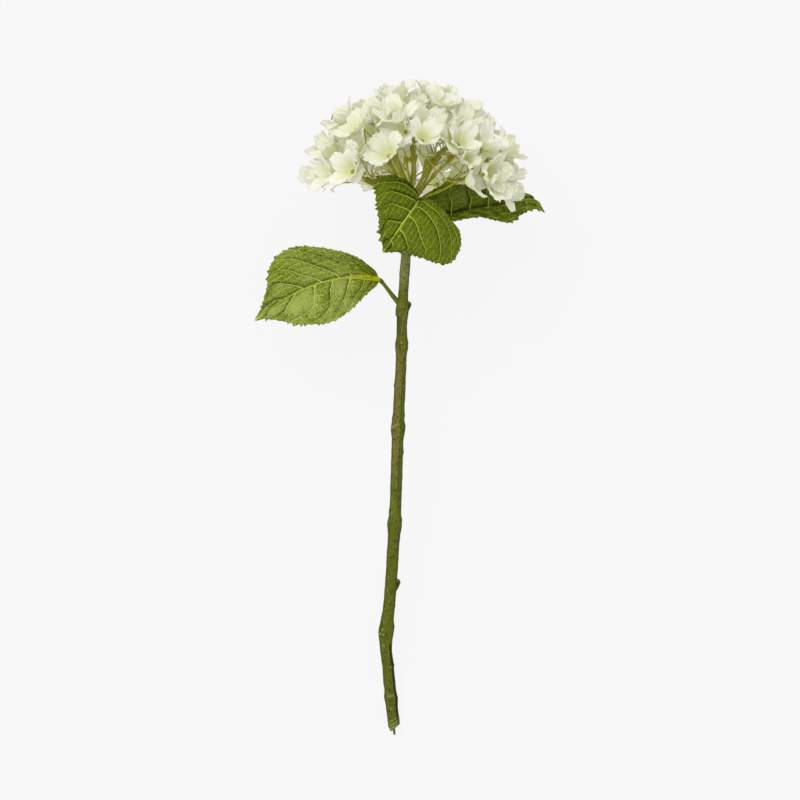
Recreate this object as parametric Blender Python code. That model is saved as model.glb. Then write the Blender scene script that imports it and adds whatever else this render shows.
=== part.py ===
"""Cut hydrangea: one mophead bloom on a green woody stem with three leaves, laid on a flat surface.

Every piece is modelled in the flower's own frame, in metres: +Y runs up the stem, +X to its right and +Z
towards its face, from the hub where the spray stalks spring. One empty then lays the whole flower down, tipped
so that it rests on the pressed back of the bloom and on the cut end of the stem.
"""

import math
import random
from collections import namedtuple

import bpy
import numpy as np
from mathutils import Matrix, Vector
from mathutils.bvhtree import BVHTree

SEED = 10
SEAT_GAP = 0.0003  # between a piece and what carries it
HAIR = 0.00005
SHARP_ANGLE = math.radians(50)

# How the flower lies
TIP_ANGLE = math.radians(9.54)
HUB_HEIGHT = 0.0697
LYING_PLACE = Vector((0.0114, 0.1538, HUB_HEIGHT))

# Stem: its line from the hub to the cut end, and its thickness
STEM_LINE = (
    (-0.0030, -0.0045, 0.0),
    (-0.0045, -0.0220, 0.0),
    (-0.0070, -0.0480, 0.0),
    (-0.0094, -0.0850, 0.0),
    (-0.0100, -0.1190, 0.0),
    (-0.0122, -0.1640, 0.0),
    (-0.0140, -0.2170, 0.0),
    (-0.0156, -0.2520, 0.0),
    (-0.0185, -0.2970, 0.0),
    (-0.0216, -0.3280, 0.0),
    (-0.0196, -0.3520, 0.0),
    (-0.0170, -0.3800, 0.0),
    (-0.0156, -0.3950, 0.0),
)
STEM_SIDES = 12
STEM_RINGS = 32
CROWN_RADIUS = 0.0060
CROWN_ROUNDING = ((0.30, 0.94), (0.72, 0.68), (0.97, 0.22))  # radius and rise of its rounded top, as shares
NECK_RADIUS = 0.0035
FOOT_RADIUS = 0.0043
CUT_SLOPE = 0.75  # how far the cut end runs up one side, per metre across

# Swellings of the stem: distance down from the hub, added radius, length
Swelling = namedtuple("Swelling", "down swell length")
STEM_NODES = (
    Swelling(0.084, 0.0011, 0.006),
    Swelling(0.112, 0.0009, 0.005),
    Swelling(0.173, 0.0010, 0.006),
    Swelling(0.244, 0.0011, 0.006),
    Swelling(0.323, 0.0013, 0.008),
    Swelling(0.372, 0.0006, 0.004),
)
# Buds: distance down from the hub, side of the stem (degrees from +X towards +Z), length
Bud = namedtuple("Bud", "down side length")
BUDS = (Bud(0.083, 0.0, 0.0085), Bud(0.287, 0.0, 0.0080), Bud(0.243, 150.0, 0.0050))
BUD_SIDES = 6
BUD_SHAPE = ((0.0, 0.30, 0.0), (0.35, 0.30, 0.22), (0.75, 0.22, 0.26), (1.0, 0.06, 0.18))  # rise, radius and lean
BUD_SUNK = (0.55, 0.45)  # how deep its foot stands in the stem, and below its node

# Wire core, which shows at the cut end
WIRE_RADIUS = 0.0009
WIRE_INSIDE = 0.014
WIRE_OUTSIDE = 0.0045
WIRE_SIDES = 10
BORE_PAST_END = 0.02

# Leaves: guide points along the midrib from base to tip, and where the side veins that leave its inner
# points end on the margin, on the left and right as seen from the upper face with the tip ahead
Leaf = namedtuple("Leaf", "name root petiole_radius midrib left right")
LEAVES = (
    Leaf(
        "leaf_lower",
        (-0.0094, -0.0835, 0.0005),
        0.0017,
        (
            (-0.0259, -0.0629, 0.0040),
            (-0.0363, -0.0614, 0.0060),
            (-0.0481, -0.0611, 0.0080),
            (-0.0607, -0.0629, 0.0090),
            (-0.0740, -0.0666, 0.0090),
            (-0.0881, -0.0725, 0.0070),
            (-0.1043, -0.0821, 0.0030),
            (-0.1191, -0.0932, -0.0020),
        ),
        (
            (-0.0296, -0.0681, 0.0050),
            (-0.0385, -0.0762, 0.0070),
            (-0.0481, -0.0858, 0.0080),
            (-0.0629, -0.0947, 0.0080),
            (-0.0851, -0.0962, 0.0060),
            (-0.1036, -0.0932, 0.0030),
        ),
        (
            (-0.0311, -0.0548, 0.0060),
            (-0.0466, -0.0444, 0.0090),
            (-0.0696, -0.0392, 0.0100),
            (-0.0918, -0.0392, 0.0090),
            (-0.1066, -0.0511, 0.0060),
            (-0.1110, -0.0733, 0.0020),
        ),
    ),
    Leaf(
        "leaf_front",
        (-0.0035, -0.0115, 0.0),
        0.0021,
        (
            (-0.0007, -0.0081, 0.0100),
            (0.0015, -0.0052, 0.0240),
            (0.0022, -0.0059, 0.0370),
            (0.0000, -0.0104, 0.0480),
            (-0.0052, -0.0178, 0.0560),
            (-0.0118, -0.0274, 0.0600),
            (-0.0178, -0.0363, 0.0610),
            (-0.0237, -0.0444, 0.0600),
        ),
        (
            (0.0096, -0.0081, 0.0130),
            (0.0215, -0.0141, 0.0200),
            (0.0303, -0.0259, 0.0290),
            (0.0333, -0.0407, 0.0380),
            (0.0229, -0.0533, 0.0470),
            (-0.0015, -0.0466, 0.0560),
        ),
        (
            (-0.0074, 0.0044, 0.0260),
            (-0.0163, 0.0126, 0.0380),
            (-0.0281, 0.0104, 0.0460),
            (-0.0296, 0.0007, 0.0520),
            (-0.0281, -0.0148, 0.0570),
            (-0.0259, -0.0333, 0.0600),
        ),
    ),
    Leaf(
        "leaf_right",
        (-0.0035, -0.0125, 0.0),
        0.0021,
        (
            (0.0067, -0.0081, -0.0080),
            (0.0163, -0.0133, -0.0090),
            (0.0274, -0.0141, -0.0080),
            (0.0407, -0.0111, -0.0050),
            (0.0548, -0.0089, -0.0020),
            (0.0696, -0.0067, 0.0000),
            (0.0873, -0.0030, 0.0030),
            (0.0962, -0.0133, 0.0070),
        ),
        (
            (0.0096, 0.0007, -0.0050),
            (0.0192, 0.0074, -0.0070),
            (0.0333, 0.0089, -0.0090),
            (0.0503, 0.0074, -0.0110),
            (0.0681, 0.0037, -0.0090),
            (0.0836, -0.0015, -0.0040),
        ),
        (
            (0.0141, -0.0185, -0.0030),
            (0.0252, -0.0200, 0.0050),
            (0.0392, -0.0178, 0.0090),
            (0.0555, -0.0185, 0.0120),
            (0.0718, -0.0207, 0.0120),
            (0.0858, -0.0126, 0.0090),
        ),
    ),
)
LEAF_TEETH = 20
LEAF_THICKNESS = 0.0008
LEAF_BULGE = 0.09  # rise of each half between midrib and margin, as a share of its width
LEAF_SIDES = (-1.0, -0.5, 0.0, 0.5, 1.0)  # the points of a row, from the right margin to the left
TOOTH_OUT = 0.000675
NOTCH_IN = 0.000825
PETIOLE_SWELL = 0.35
PETIOLE_RINGS = 5
RIB_SIDES = 5
RIB_RINGS = 8
RIB_REACH = 0.92  # where the rib ends, as a share of the blade's length
RIB_ROOT = 0.72  # its radius at the blade's base, as a share of the petiole's
RIB_TIP_RADIUS = 0.00035
RIB_SUNK = 0.75  # how far its middle lies under the blade, in radii

# Bloom: rings of florets on a dome round the hub, and the sprays that carry them.
# Polar angles run down from the top, azimuths from +X towards the face.
DOME_RADIUS = 0.0675
Ring = namedtuple("Ring", "polar count start skipped")
FLORET_RINGS = (
    Ring(12.0, 4, 30.0, ()),
    Ring(29.0, 8, 5.0, ()),
    Ring(46.0, 12, 18.0, ()),
    Ring(62.0, 14, 10.0, ()),
    Ring(78.0, 16, -6.0, (0, 3, 4, 5, 15)),
)
FRONT_RISE = 9.0  # degrees by which the bloom's rim is higher in front, where the stalks show
FRONT_AZIMUTH = 85.0
SPRAY_RINGS = (Ring(0.0, 1, 0.0, ()), Ring(40.0, 4, 38.0, ()), Ring(70.0, 7, 12.0, ()))
FORK_SHARE = 0.56  # where a spray's stalk forks, as a share of the way to its florets
STALK_RADIUS = 0.0013
FORK_RADIUS = 0.0019
STALK_RINGS = 6
STALK_SIDES = 6
STALK_DROOP = 0.25  # how far the outer stalks start lower than they end
STALK_RISE = 0.013  # where they bend, from the hub
PEDICEL_RADIUS = 0.0007
PEDICEL_SUNK = 0.0015  # how deep its foot stands in the fork
PEDICEL_BOW = (0.45, 0.40)  # how far it runs on along the stalk, and behind its floret, as shares of its length
PEDICEL_BEND = 0.6  # where it bends between its ends

# How far the florets differ from their places on the dome, and from each other
LEAN_SPREAD = 0.12
PLACE_SPREAD = 0.035
RADIUS_RANGE = (-0.005, 0.004)
CUP_RANGE = (0.75, 1.15)
PETAL_CUP_RANGE = (0.85, 1.15)
PETAL_LENGTH_RANGE = (0.93, 1.06)
REFLEX_RANGE = (0.2, 1.8)

# Floret: four petals cut from one piece, cupped round a button, on a funnel-shaped calyx
PETALS = 4
PETAL_LENGTH = 0.0220
PETAL_HALF_WIDTH = 0.0110
PETAL_THICKNESS = 0.0007
EYE_RADIUS = 0.0027
CLEFT_ANGLE = math.radians(41.5)
CUP_ANGLE = math.radians(51.0)
REFLEX_ANGLE = math.radians(22.0)
PROFILE_STEPS = 12
TIP_ROUNDING = 0.17  # how far the tip falls back at its sides, as a share of the petal's length
TIP_SQUARENESS = 2.4
TIP_NOTCH = 0.07
TIP_NOTCH_WIDTH = 0.22
TIP_NARROWING = 0.10
RIM_DROP = 0.0012  # how far the sides of a petal lie below its middle line
PETAL_ROWS = ((0.50, (-1, 0, 1)), (1.0, (-1, -0.5, 0, 0.5, 1)))  # share of the length, and points across
EYE_CORNERS = 2 * PETALS  # alternately a cleft and the foot of a petal
CALYX_LENGTH = 0.0050
BUTTON_RADIUS = 0.0013
BUTTON_HEIGHT = 0.0015
BUTTON_SHOULDER = 0.7
ROUND_CORNERS = 4  # of the button and of a pedicel

# The search for places in which no floret crosses another spray
SWEEPS = 14
TRIES = 30
OWN_CROSSINGS = 10  # crossed triangles that a spray may have within itself at one floret
OWN_WEIGHT = 0.2
NEIGHBOUR_COSINE = 0.7


# ---------------------------------------------------------------- shapes by rule


def smooth_step(low, high, value):
    share = min(max((value - low) / (high - low), 0.0), 1.0)
    return share * share * (3.0 - 2.0 * share)


def on_curve(points, share):
    """The point at a share of a smooth (Catmull-Rom) curve through the given points."""
    last = len(points) - 1
    along = share * last
    at = min(int(along), last - 1)
    t = along - at
    b, c = Vector(points[at]), Vector(points[at + 1])
    a = Vector(points[at - 1]) if at else 2 * b - c
    d = Vector(points[at + 2]) if at + 2 <= last else 2 * c - b
    return 0.5 * (2 * b + (c - a) * t + (2 * a - 5 * b + 4 * c - d) * t**2 + (3 * b - a - 3 * c + d) * t**3)


def evenly_along(points, count):
    """Points at even distances along a smooth curve through the given ones."""
    steps = 12 * len(points)
    dense = [on_curve(points, i / steps) for i in range(steps + 1)]
    gone = [0.0]
    for a, b in zip(dense, dense[1:]):
        gone.append(gone[-1] + (b - a).length)
    found, at = [], 0
    for i in range(count):
        wanted = gone[-1] * i / (count - 1)
        while at < len(dense) - 2 and gone[at + 1] < wanted:
            at += 1
        share = (wanted - gone[at]) / (gone[at + 1] - gone[at])
        found.append(dense[at].lerp(dense[at + 1], share))
    return found


def tangents(line):
    last = len(line) - 1
    return [(line[min(i + 1, last)] - line[max(i - 1, 0)]).normalized() for i in range(len(line))]


def across(direction):
    """Two unit vectors square to a direction and to each other."""
    side = Vector((0, 0, 1)).cross(direction)
    if side.length < 0.1:
        side = Vector((1, 0, 0)).cross(direction)
    side.normalize()
    return side, direction.cross(side).normalized()


def tube(line, radii, sides):
    """Points and faces of a closed tube, one ring of points for each point of the line."""
    points, faces = [], []
    side = across(tangents(line)[0])[0]
    for centre, direction, radius in zip(line, tangents(line), radii):
        side = (side - side.dot(direction) * direction).normalized()
        other = direction.cross(side)
        for k in range(sides):
            turn = 2 * math.pi * k / sides
            points.append(centre + radius * (math.cos(turn) * side + math.sin(turn) * other))
    for i in range(len(line) - 1):
        for k in range(sides):
            a, b = i * sides + k, i * sides + (k + 1) % sides
            faces.append((a, b, b + sides, a + sides))
    faces.append(tuple(reversed(range(sides))))
    faces.append(tuple(range(len(points) - sides, len(points))))
    return points, faces


def strip(left, right):
    """Triangles between two rows of point numbers, which may differ in length."""
    faces, i, j = [], 0, 0
    while i < len(left) - 1 or j < len(right) - 1:
        if j == len(right) - 1 or (i < len(left) - 1 and (i + 1) * (len(right) - 1) <= (j + 1) * (len(left) - 1)):
            faces.append((left[i], right[j], left[i + 1]))
            i += 1
        else:
            faces.append((left[i], right[j], right[j + 1]))
            j += 1
    return faces


def thickened(points, faces, thickness):
    """A closed blade whose middle is this open sheet of triangles, split alike on both faces."""
    place = np.array(points, float)
    corners = np.array(faces)
    flat = np.cross(place[corners[:, 1]] - place[corners[:, 0]], place[corners[:, 2]] - place[corners[:, 0]])
    normals = np.zeros_like(place)
    for k in range(3):
        np.add.at(normals, corners[:, k], flat)
    normals /= np.linalg.norm(normals, axis=1)[:, None]
    count = len(points)
    solid = [Vector(p) for p in place + normals * thickness / 2] + [Vector(p) for p in place - normals * thickness / 2]
    closed = [tuple(f) for f in faces] + [(c + count, b + count, a + count) for a, b, c in faces]
    edges = {(f[i], f[(i + 1) % 3]) for f in faces for i in range(3)}
    for a, b in sorted(edges):
        if (b, a) not in edges:
            closed += [(b, a, a + count), (b, a + count, b + count)]
    return solid, closed


def solid_tree(shape):
    return BVHTree.FromPolygons(*shape)


# ---------------------------------------------------------------- the surface that it lies on

LAY_DOWN = Matrix.Translation(LYING_PLACE) @ Matrix.Rotation(TIP_ANGLE, 4, "X")
UP = (LAY_DOWN.to_3x3().inverted() @ Vector((0, 0, 1))).normalized()


def height(point):
    """Height of a point of the flower's frame above the surface."""
    return HUB_HEIGHT + UP.dot(point)


def pressed(point, least):
    """The point, lifted to a least height where the surface pushes it up."""
    return point + max(least - height(point), 0.0) * UP


def bedded(point):
    """The point, laid on the surface where it would reach below it or end a hair above it."""
    return point - height(point) * UP if height(point) < HAIR else point


# ---------------------------------------------------------------- floret


def petal_profile(cup, reflex, length):
    """Out and up distances along a petal, from the eye to the tip, at even steps."""
    out, up = [0.0], [0.0]
    for i in range(PROFILE_STEPS):
        share = (i + 0.5) / PROFILE_STEPS
        slope = cup * smooth_step(0.0, 0.25, share) - reflex * smooth_step(0.45, 1.0, share)
        out.append(out[-1] + math.cos(slope) * length / PROFILE_STEPS)
        up.append(up[-1] + math.sin(slope) * length / PROFILE_STEPS)
    return out, up


def petal_point(profile, length, turn, share, side):
    """A point of a petal: share runs from the eye to the tip, side from -1 to 1 across."""
    tip = 1.0 - TIP_ROUNDING * abs(side) ** TIP_SQUARENESS - TIP_NOTCH * math.exp(-((side / TIP_NOTCH_WIDTH) ** 2))
    gone = EYE_RADIUS + (length * tip - EYE_RADIUS) * share
    angle = min(CLEFT_ANGLE, math.asin(min(PETAL_HALF_WIDTH / gone, 1.0)))
    angle = angle * (1.0 - TIP_NARROWING * smooth_step(0.75, 1.0, share))
    out, up = profile
    place = gone / length * (len(out) - 1)
    at = min(int(place), len(out) - 2)
    t = place - at
    radius = out[at] * (1 - t) + out[at + 1] * t
    rise = up[at] * (1 - t) + up[at + 1] * t
    edge = RIM_DROP * side * side * smooth_step(0.3, 0.9, share)
    around = turn + angle * side
    return Vector((radius * math.cos(around), radius * math.sin(around), rise - edge))


def petal_sheet(draw, cup):
    """The four petals as one open sheet round the eye, in the floret's own frame, opening along +Z."""
    points = []
    for k in range(EYE_CORNERS):
        turn = 2 * math.pi / EYE_CORNERS * (k - 1)
        points.append(Vector((EYE_RADIUS * math.cos(turn), EYE_RADIUS * math.sin(turn), 0)))
    faces = []
    for k in range(PETALS):
        length = PETAL_LENGTH * draw.uniform(*PETAL_LENGTH_RANGE)
        petal_cup = cup * draw.uniform(*PETAL_CUP_RANGE)
        profile = petal_profile(petal_cup, REFLEX_ANGLE * draw.uniform(*REFLEX_RANGE), length)
        turn = 2 * math.pi / PETALS * k
        row = [2 * k, 2 * k + 1, (2 * k + 2) % EYE_CORNERS]
        for share, sides in PETAL_ROWS:
            after = []
            for side in sides:
                after.append(len(points))
                points.append(petal_point(profile, length, turn, share, side))
            faces += strip(row, after)
            row = after
    return points, faces


Floret = namedtuple("Floret", "spray base axis turned sheet")


def floret_shape(floret, fork, along, more=0.0):
    """The whole floret as one closed shape: blade, button, calyx and the pedicel down into the spray's fork."""
    base, axis = floret.base, floret.axis
    solid, faces = thickened(*floret.sheet, PETAL_THICKNESS + 2 * more)
    under = len(floret.sheet[0])
    eye = set(range(EYE_CORNERS)), set(range(under, under + EYE_CORNERS))
    faces = [f for f in faces if not (set(f) <= eye[0] | eye[1])]

    def ring(middle, radius, frame):
        first = len(solid)
        for k in range(ROUND_CORNERS):
            turn = 2 * math.pi / ROUND_CORNERS * k - math.pi / 4
            solid.append(middle + frame @ Vector((radius * math.cos(turn), radius * math.sin(turn), 0)))
        return list(range(first, first + ROUND_CORNERS))

    def closed_strip(inner, outer):
        return strip(inner + inner[:1], outer + outer[:1])

    shoulder = PETAL_THICKNESS / 2 + BUTTON_HEIGHT * BUTTON_SHOULDER
    button = ring(base + axis * shoulder, BUTTON_RADIUS, floret.turned)
    solid.append(base + axis * (PETAL_THICKNESS / 2 + BUTTON_HEIGHT))
    faces += closed_strip(button, list(range(EYE_CORNERS)))
    faces += [(button[k], button[(k + 1) % ROUND_CORNERS], len(solid) - 1) for k in range(ROUND_CORNERS)]

    throat = base - axis * CALYX_LENGTH
    foot = fork - along * PEDICEL_SUNK
    reach = (throat - foot).length
    first, second = foot + along * reach * PEDICEL_BOW[0], throat - axis * reach * PEDICEL_BOW[1]
    t = PEDICEL_BEND
    bend = (1 - t) ** 3 * foot + 3 * (1 - t) ** 2 * t * first + 3 * (1 - t) * t**2 * second + t**3 * throat
    line = [foot, bend, throat]
    upper = list(range(under, under + EYE_CORNERS))
    frame, way = floret.turned, axis
    for centre, new_way in reversed(list(zip(line, tangents(line)))):
        frame = way.rotation_difference(new_way).to_matrix() @ frame
        way = new_way
        lower = ring(centre, PEDICEL_RADIUS + more, frame)
        faces += closed_strip(upper, lower)
        upper = lower
    faces += [(upper[0], upper[2], upper[1]), (upper[0], upper[3], upper[2])]
    return [bedded(point) for point in solid], faces


# ---------------------------------------------------------------- leaf


def leaf_row(leaf, start):
    """The row of the blade that leaves the midrib at a share of its length: three guides and the upper face."""
    middle = leaf.midrib
    guides = (middle, (middle[0], *leaf.left, middle[-1]), (middle[0], *leaf.right, middle[-1]))
    centre, left, right = (on_curve(guide, start) for guide in guides)
    ahead, behind = on_curve(middle, min(start + 0.02, 1.0)), on_curve(middle, max(start - 0.02, 0.0))
    face = (ahead - behind).cross(left - right)
    face = face if face.length > 1e-9 else (ahead - behind).cross(Vector((0, 0, 1)).cross(ahead - behind))
    return centre, left, right, face.normalized()


def leaf_point(row, side):
    """A point of a row: side runs from -1 at the right margin, over the midrib, to 1 at the left margin."""
    centre, left, right, face = row
    margin = left if side > 0 else right
    share = abs(side)
    bulge = LEAF_BULGE * (margin - centre).length * math.sin(math.pi * share)
    return centre.lerp(margin, share) + face * bulge


def leaf_sheet(leaf):
    """The blade's sheet of triangles. Its rows run along the side veins, each out to a tooth or a notch."""
    rows = 2 * LEAF_TEETH
    points, faces, before = [], [], None
    for i in range(rows + 1):
        row = leaf_row(leaf, i / rows)
        after = []
        for side in (0.0,) if i in (0, rows) else LEAF_SIDES:
            after.append(len(points))
            point = leaf_point(row, side)
            if abs(side) == 1.0 and 1 < i < rows - 1:
                out = (point - row[0]).normalized()
                point = point + out * (TOOTH_OUT if i % 2 else -NOTCH_IN)
            points.append(point)
        if before is not None:
            faces += strip(after, before)
        before = after
    return points, faces


def leaf_rib(leaf):
    """Petiole and midrib: one tapering stalk from inside the stem, under the blade, to near its tip."""
    line = evenly_along([leaf.root, leaf.midrib[0]], PETIOLE_RINGS)[:-1]
    swell = [PETIOLE_SWELL * math.sin(math.pi * i / PETIOLE_RINGS) for i in range(len(line))]
    radii = [leaf.petiole_radius * (1.0 + share) for share in swell]
    for i in range(RIB_RINGS):
        share = RIB_REACH * i / (RIB_RINGS - 1)
        centre, _, _, face = leaf_row(leaf, share)
        radius = leaf.petiole_radius * RIB_ROOT * (1 - share) ** 0.8 + RIB_TIP_RADIUS
        line.append(centre - face * (radius * RIB_SUNK))
        radii.append(radius)
    return tube(line, radii, RIB_SIDES)


# ---------------------------------------------------------------- objects


def material(name, colour, roughness):
    made = bpy.data.materials.new(name)
    made.use_nodes = True
    shader = made.node_tree.nodes["Principled BSDF"]
    shader.inputs["Base Color"].default_value = (*colour, 1.0)
    shader.inputs["Roughness"].default_value = roughness
    shader.inputs["Metallic"].default_value = 0.0
    made.diffuse_color = (*colour, 1.0)
    return made


def mesh_object(name, shape, finish, parent, smooth=False):
    points, faces = shape
    mesh = bpy.data.meshes.new(name)
    mesh.from_pydata([tuple(p) for p in points], [], faces)
    mesh.materials.append(finish)
    if smooth:
        mesh.shade_smooth()
        mesh.set_sharp_from_angle(angle=SHARP_ANGLE)
    made = bpy.data.objects.new(name, mesh)
    bpy.context.scene.collection.objects.link(made)
    made.parent = parent
    return made


def joined(body, pieces):
    """Applies one Boolean union of body with the pieces, and removes them."""
    group = bpy.data.collections.new(body.name + "_pieces")
    for piece in pieces:
        group.objects.link(piece)
    union = body.modifiers.new("Join", "BOOLEAN")
    union.operation = "UNION"
    union.operand_type = "COLLECTION"
    union.collection = group
    union.solver = "EXACT"
    evaluated = body.evaluated_get(bpy.context.evaluated_depsgraph_get())
    mesh = bpy.data.meshes.new_from_object(evaluated)
    body.modifiers.clear()
    body.data = mesh
    for piece in pieces:
        bpy.data.objects.remove(piece)
    bpy.data.collections.remove(group)


def seat_against(piece, cutter):
    cut = piece.modifiers.new("Seat", "BOOLEAN")
    cut.operation = "DIFFERENCE"
    cut.object = cutter
    cut.solver = "EXACT"


# ---------------------------------------------------------------- stem


def stem_radius(down):
    """The stem's radius at a distance down from the hub."""
    radius = NECK_RADIUS + (FOOT_RADIUS - NECK_RADIUS) * smooth_step(0.03, 0.20, down)
    radius += (CROWN_RADIUS - NECK_RADIUS) * (1 - smooth_step(0.004, 0.022, down))
    for node in STEM_NODES:
        radius += node.swell * math.exp(-(((down - node.down) / node.length) ** 2))
    return radius


def stem_shape(more):
    """The stem, with its radius larger by the given amount: rounded crown, swollen nodes, slanting cut end."""
    line = evenly_along(STEM_LINE, STEM_RINGS)
    crown = Vector(STEM_LINE[0])
    up = -tangents(line)[0]
    lead = [crown + up * (CROWN_RADIUS + more) * rise for _, rise in CROWN_ROUNDING]
    radii = [(CROWN_RADIUS + more) * wide for wide, _ in CROWN_ROUNDING]
    radii += [stem_radius(-point.y) + more for point in line]
    points, faces = tube(lead + line, radii, STEM_SIDES)
    end = line[-1]
    for k in range(len(points) - STEM_SIDES, len(points)):
        points[k] = points[k] + Vector((0, CUT_SLOPE * (points[k].x - end.x), 0))
    return points, faces


def bud_shape(bud):
    """A pointed bud that leans against the stem."""
    line = evenly_along(STEM_LINE, STEM_RINGS)
    centre = min(line, key=lambda point: abs(-point.y - bud.down))
    side = math.radians(bud.side)
    out = Vector((math.cos(side), 0, math.sin(side)))
    foot = centre + out * stem_radius(bud.down) * BUD_SUNK[0] - Vector((0, bud.length * BUD_SUNK[1], 0))
    path = [foot + Vector((0, bud.length * rise, 0)) + out * bud.length * lean for rise, _, lean in BUD_SHAPE]
    return tube(path, [bud.length * radius for _, radius, _ in BUD_SHAPE], BUD_SIDES)


def make_stem(finish, parent):
    """Makes the stem with its buds and the bore of its wire, and gives the wire's shape."""
    stem = mesh_object("stem", stem_shape(0.0), finish, parent, smooth=True)
    buds = [mesh_object(f"bud_{i}", bud_shape(bud), finish, parent) for i, bud in enumerate(BUDS)]
    joined(stem, buds)
    end, above = Vector(STEM_LINE[-1]), Vector(STEM_LINE[-2])
    down = (end - above).normalized()
    bore = (end - down * (WIRE_INSIDE + SEAT_GAP), end + down * BORE_PAST_END)
    cutter = mesh_object("wire_bore", tube(bore, [WIRE_RADIUS + SEAT_GAP] * 2, WIRE_SIDES), finish, parent)
    cutter.hide_render = True
    cutter.display_type = "WIRE"
    seat_against(stem, cutter)
    wire = tube([end - down * WIRE_INSIDE, end + down * WIRE_OUTSIDE], [WIRE_RADIUS] * 2, WIRE_SIDES)
    return wire


# ---------------------------------------------------------------- bloom


def direction(polar, azimuth):
    """A unit vector: polar degrees from up the stem, azimuth degrees from +X towards +Z."""
    a, b = math.radians(polar), math.radians(azimuth)
    return Vector((math.sin(a) * math.cos(b), math.cos(a), math.sin(a) * math.sin(b)))


def ring_directions(rings):
    found = []
    for ring in rings:
        for k in range(ring.count):
            if k not in ring.skipped:
                azimuth = ring.start + 360.0 / ring.count * k
                facing = max(math.cos(math.radians(azimuth - FRONT_AZIMUTH)), 0.0)
                found.append(direction(ring.polar - FRONT_RISE * ring.polar / 90.0 * facing**6, azimuth))
    return found


def spray_stalks():
    """Each spray's stalk: a line from the hub to its fork."""
    hub = Vector(STEM_LINE[0])
    stalks = []
    for way in ring_directions(SPRAY_RINGS):
        fork = hub.lerp(way * DOME_RADIUS, FORK_SHARE)
        bend = (fork - hub).normalized() - Vector((0, STALK_DROOP * (1 - way.y), 0))
        stalks.append(evenly_along([hub, hub + bend * STALK_RISE, fork], STALK_RINGS))
    return stalks


def placed_floret(draw, way, spray):
    """One seeded try at a floret near its place on the dome."""
    lean = Vector([draw.gauss(0, LEAN_SPREAD) for _ in range(3)])
    shift = Vector([draw.gauss(0, PLACE_SPREAD) for _ in range(3)])
    axis = (way + lean).normalized()
    base = (way + shift).normalized() * (DOME_RADIUS + draw.uniform(*RADIUS_RANGE))
    frame = Vector((0, 0, 1)).rotation_difference(axis).to_matrix()
    frame = frame @ Matrix.Rotation(draw.uniform(0, 2 * math.pi / PETALS), 3, "Z")
    points, faces = petal_sheet(draw, CUP_ANGLE * draw.uniform(*CUP_RANGE))
    points = [pressed(base + frame @ p, PETAL_THICKNESS / 2) for p in points]
    return Floret(spray, base, axis, frame, (points, faces))


def place_florets(stalks, fixed):
    """Sets the florets on the dome, sweep by sweep, until none crosses a leaf or another spray.

    fixed holds what stands already, as pairs of the spray that it belongs to, or None, and its shape.
    """
    axes = ring_directions(SPRAY_RINGS)
    spots = ring_directions(FLORET_RINGS)
    draws = [random.Random(SEED * 1000 + number) for number in range(len(spots))]
    standing = {}

    def crossings(spray, tree, number):
        """Triangles crossed in leaves and other sprays, and those in the floret's own spray."""
        apart = sum(len(tree.overlap(shape)) for owner, shape in fixed if owner != spray)
        own = 0
        for other, (floret, shape) in standing.items():
            if other != number and spots[other].dot(spots[number]) > NEIGHBOUR_COSINE:
                met = len(tree.overlap(shape))
                if floret.spray == spray:
                    own += met
                else:
                    apart += met
        return apart, own

    for _ in range(SWEEPS):
        for number, way in enumerate(spots):
            spray = max(range(len(axes)), key=lambda k: axes[k].dot(way))
            fork, along = stalks[spray][-1], tangents(stalks[spray])[-1]
            best = (math.inf, None)
            if number in standing:
                apart, own = crossings(spray, standing[number][1], number)
                if apart == 0 and own < OWN_CROSSINGS:
                    continue
                best = (apart + OWN_WEIGHT * own, standing[number])
            for _ in range(TRIES):
                floret = placed_floret(draws[number], way, spray)
                tree = solid_tree(floret_shape(floret, fork, along, SEAT_GAP / 2))
                apart, own = crossings(spray, tree, number)
                if apart + OWN_WEIGHT * own < best[0]:
                    best = (apart + OWN_WEIGHT * own, (floret, tree))
                if apart + own == 0:
                    break
            standing[number] = best[1]
    return [standing[number][0] for number in range(len(spots))]


def stalk_shape(line, more=0.0):
    """A spray's stalk, which widens into its fork."""
    radii = [STALK_RADIUS] * (STALK_RINGS - 2) + [STALK_RADIUS * 1.1, FORK_RADIUS]
    return tube(line, [radius + more for radius in radii], STALK_SIDES)


def make_sprays(stalks, florets, finish, parent, seat):
    for number, line in enumerate(stalks):
        name = f"spray_{number + 1:02d}"
        stalk = mesh_object(name, stalk_shape(line), finish, parent)
        pieces = []
        for floret in florets:
            if floret.spray == number:
                shape = floret_shape(floret, line[-1], tangents(line)[-1])
                pieces.append(mesh_object(f"{name}_floret", shape, finish, parent))
        joined(stalk, pieces)
        seat_against(stalk, seat)


# ---------------------------------------------------------------- the whole flower


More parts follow.
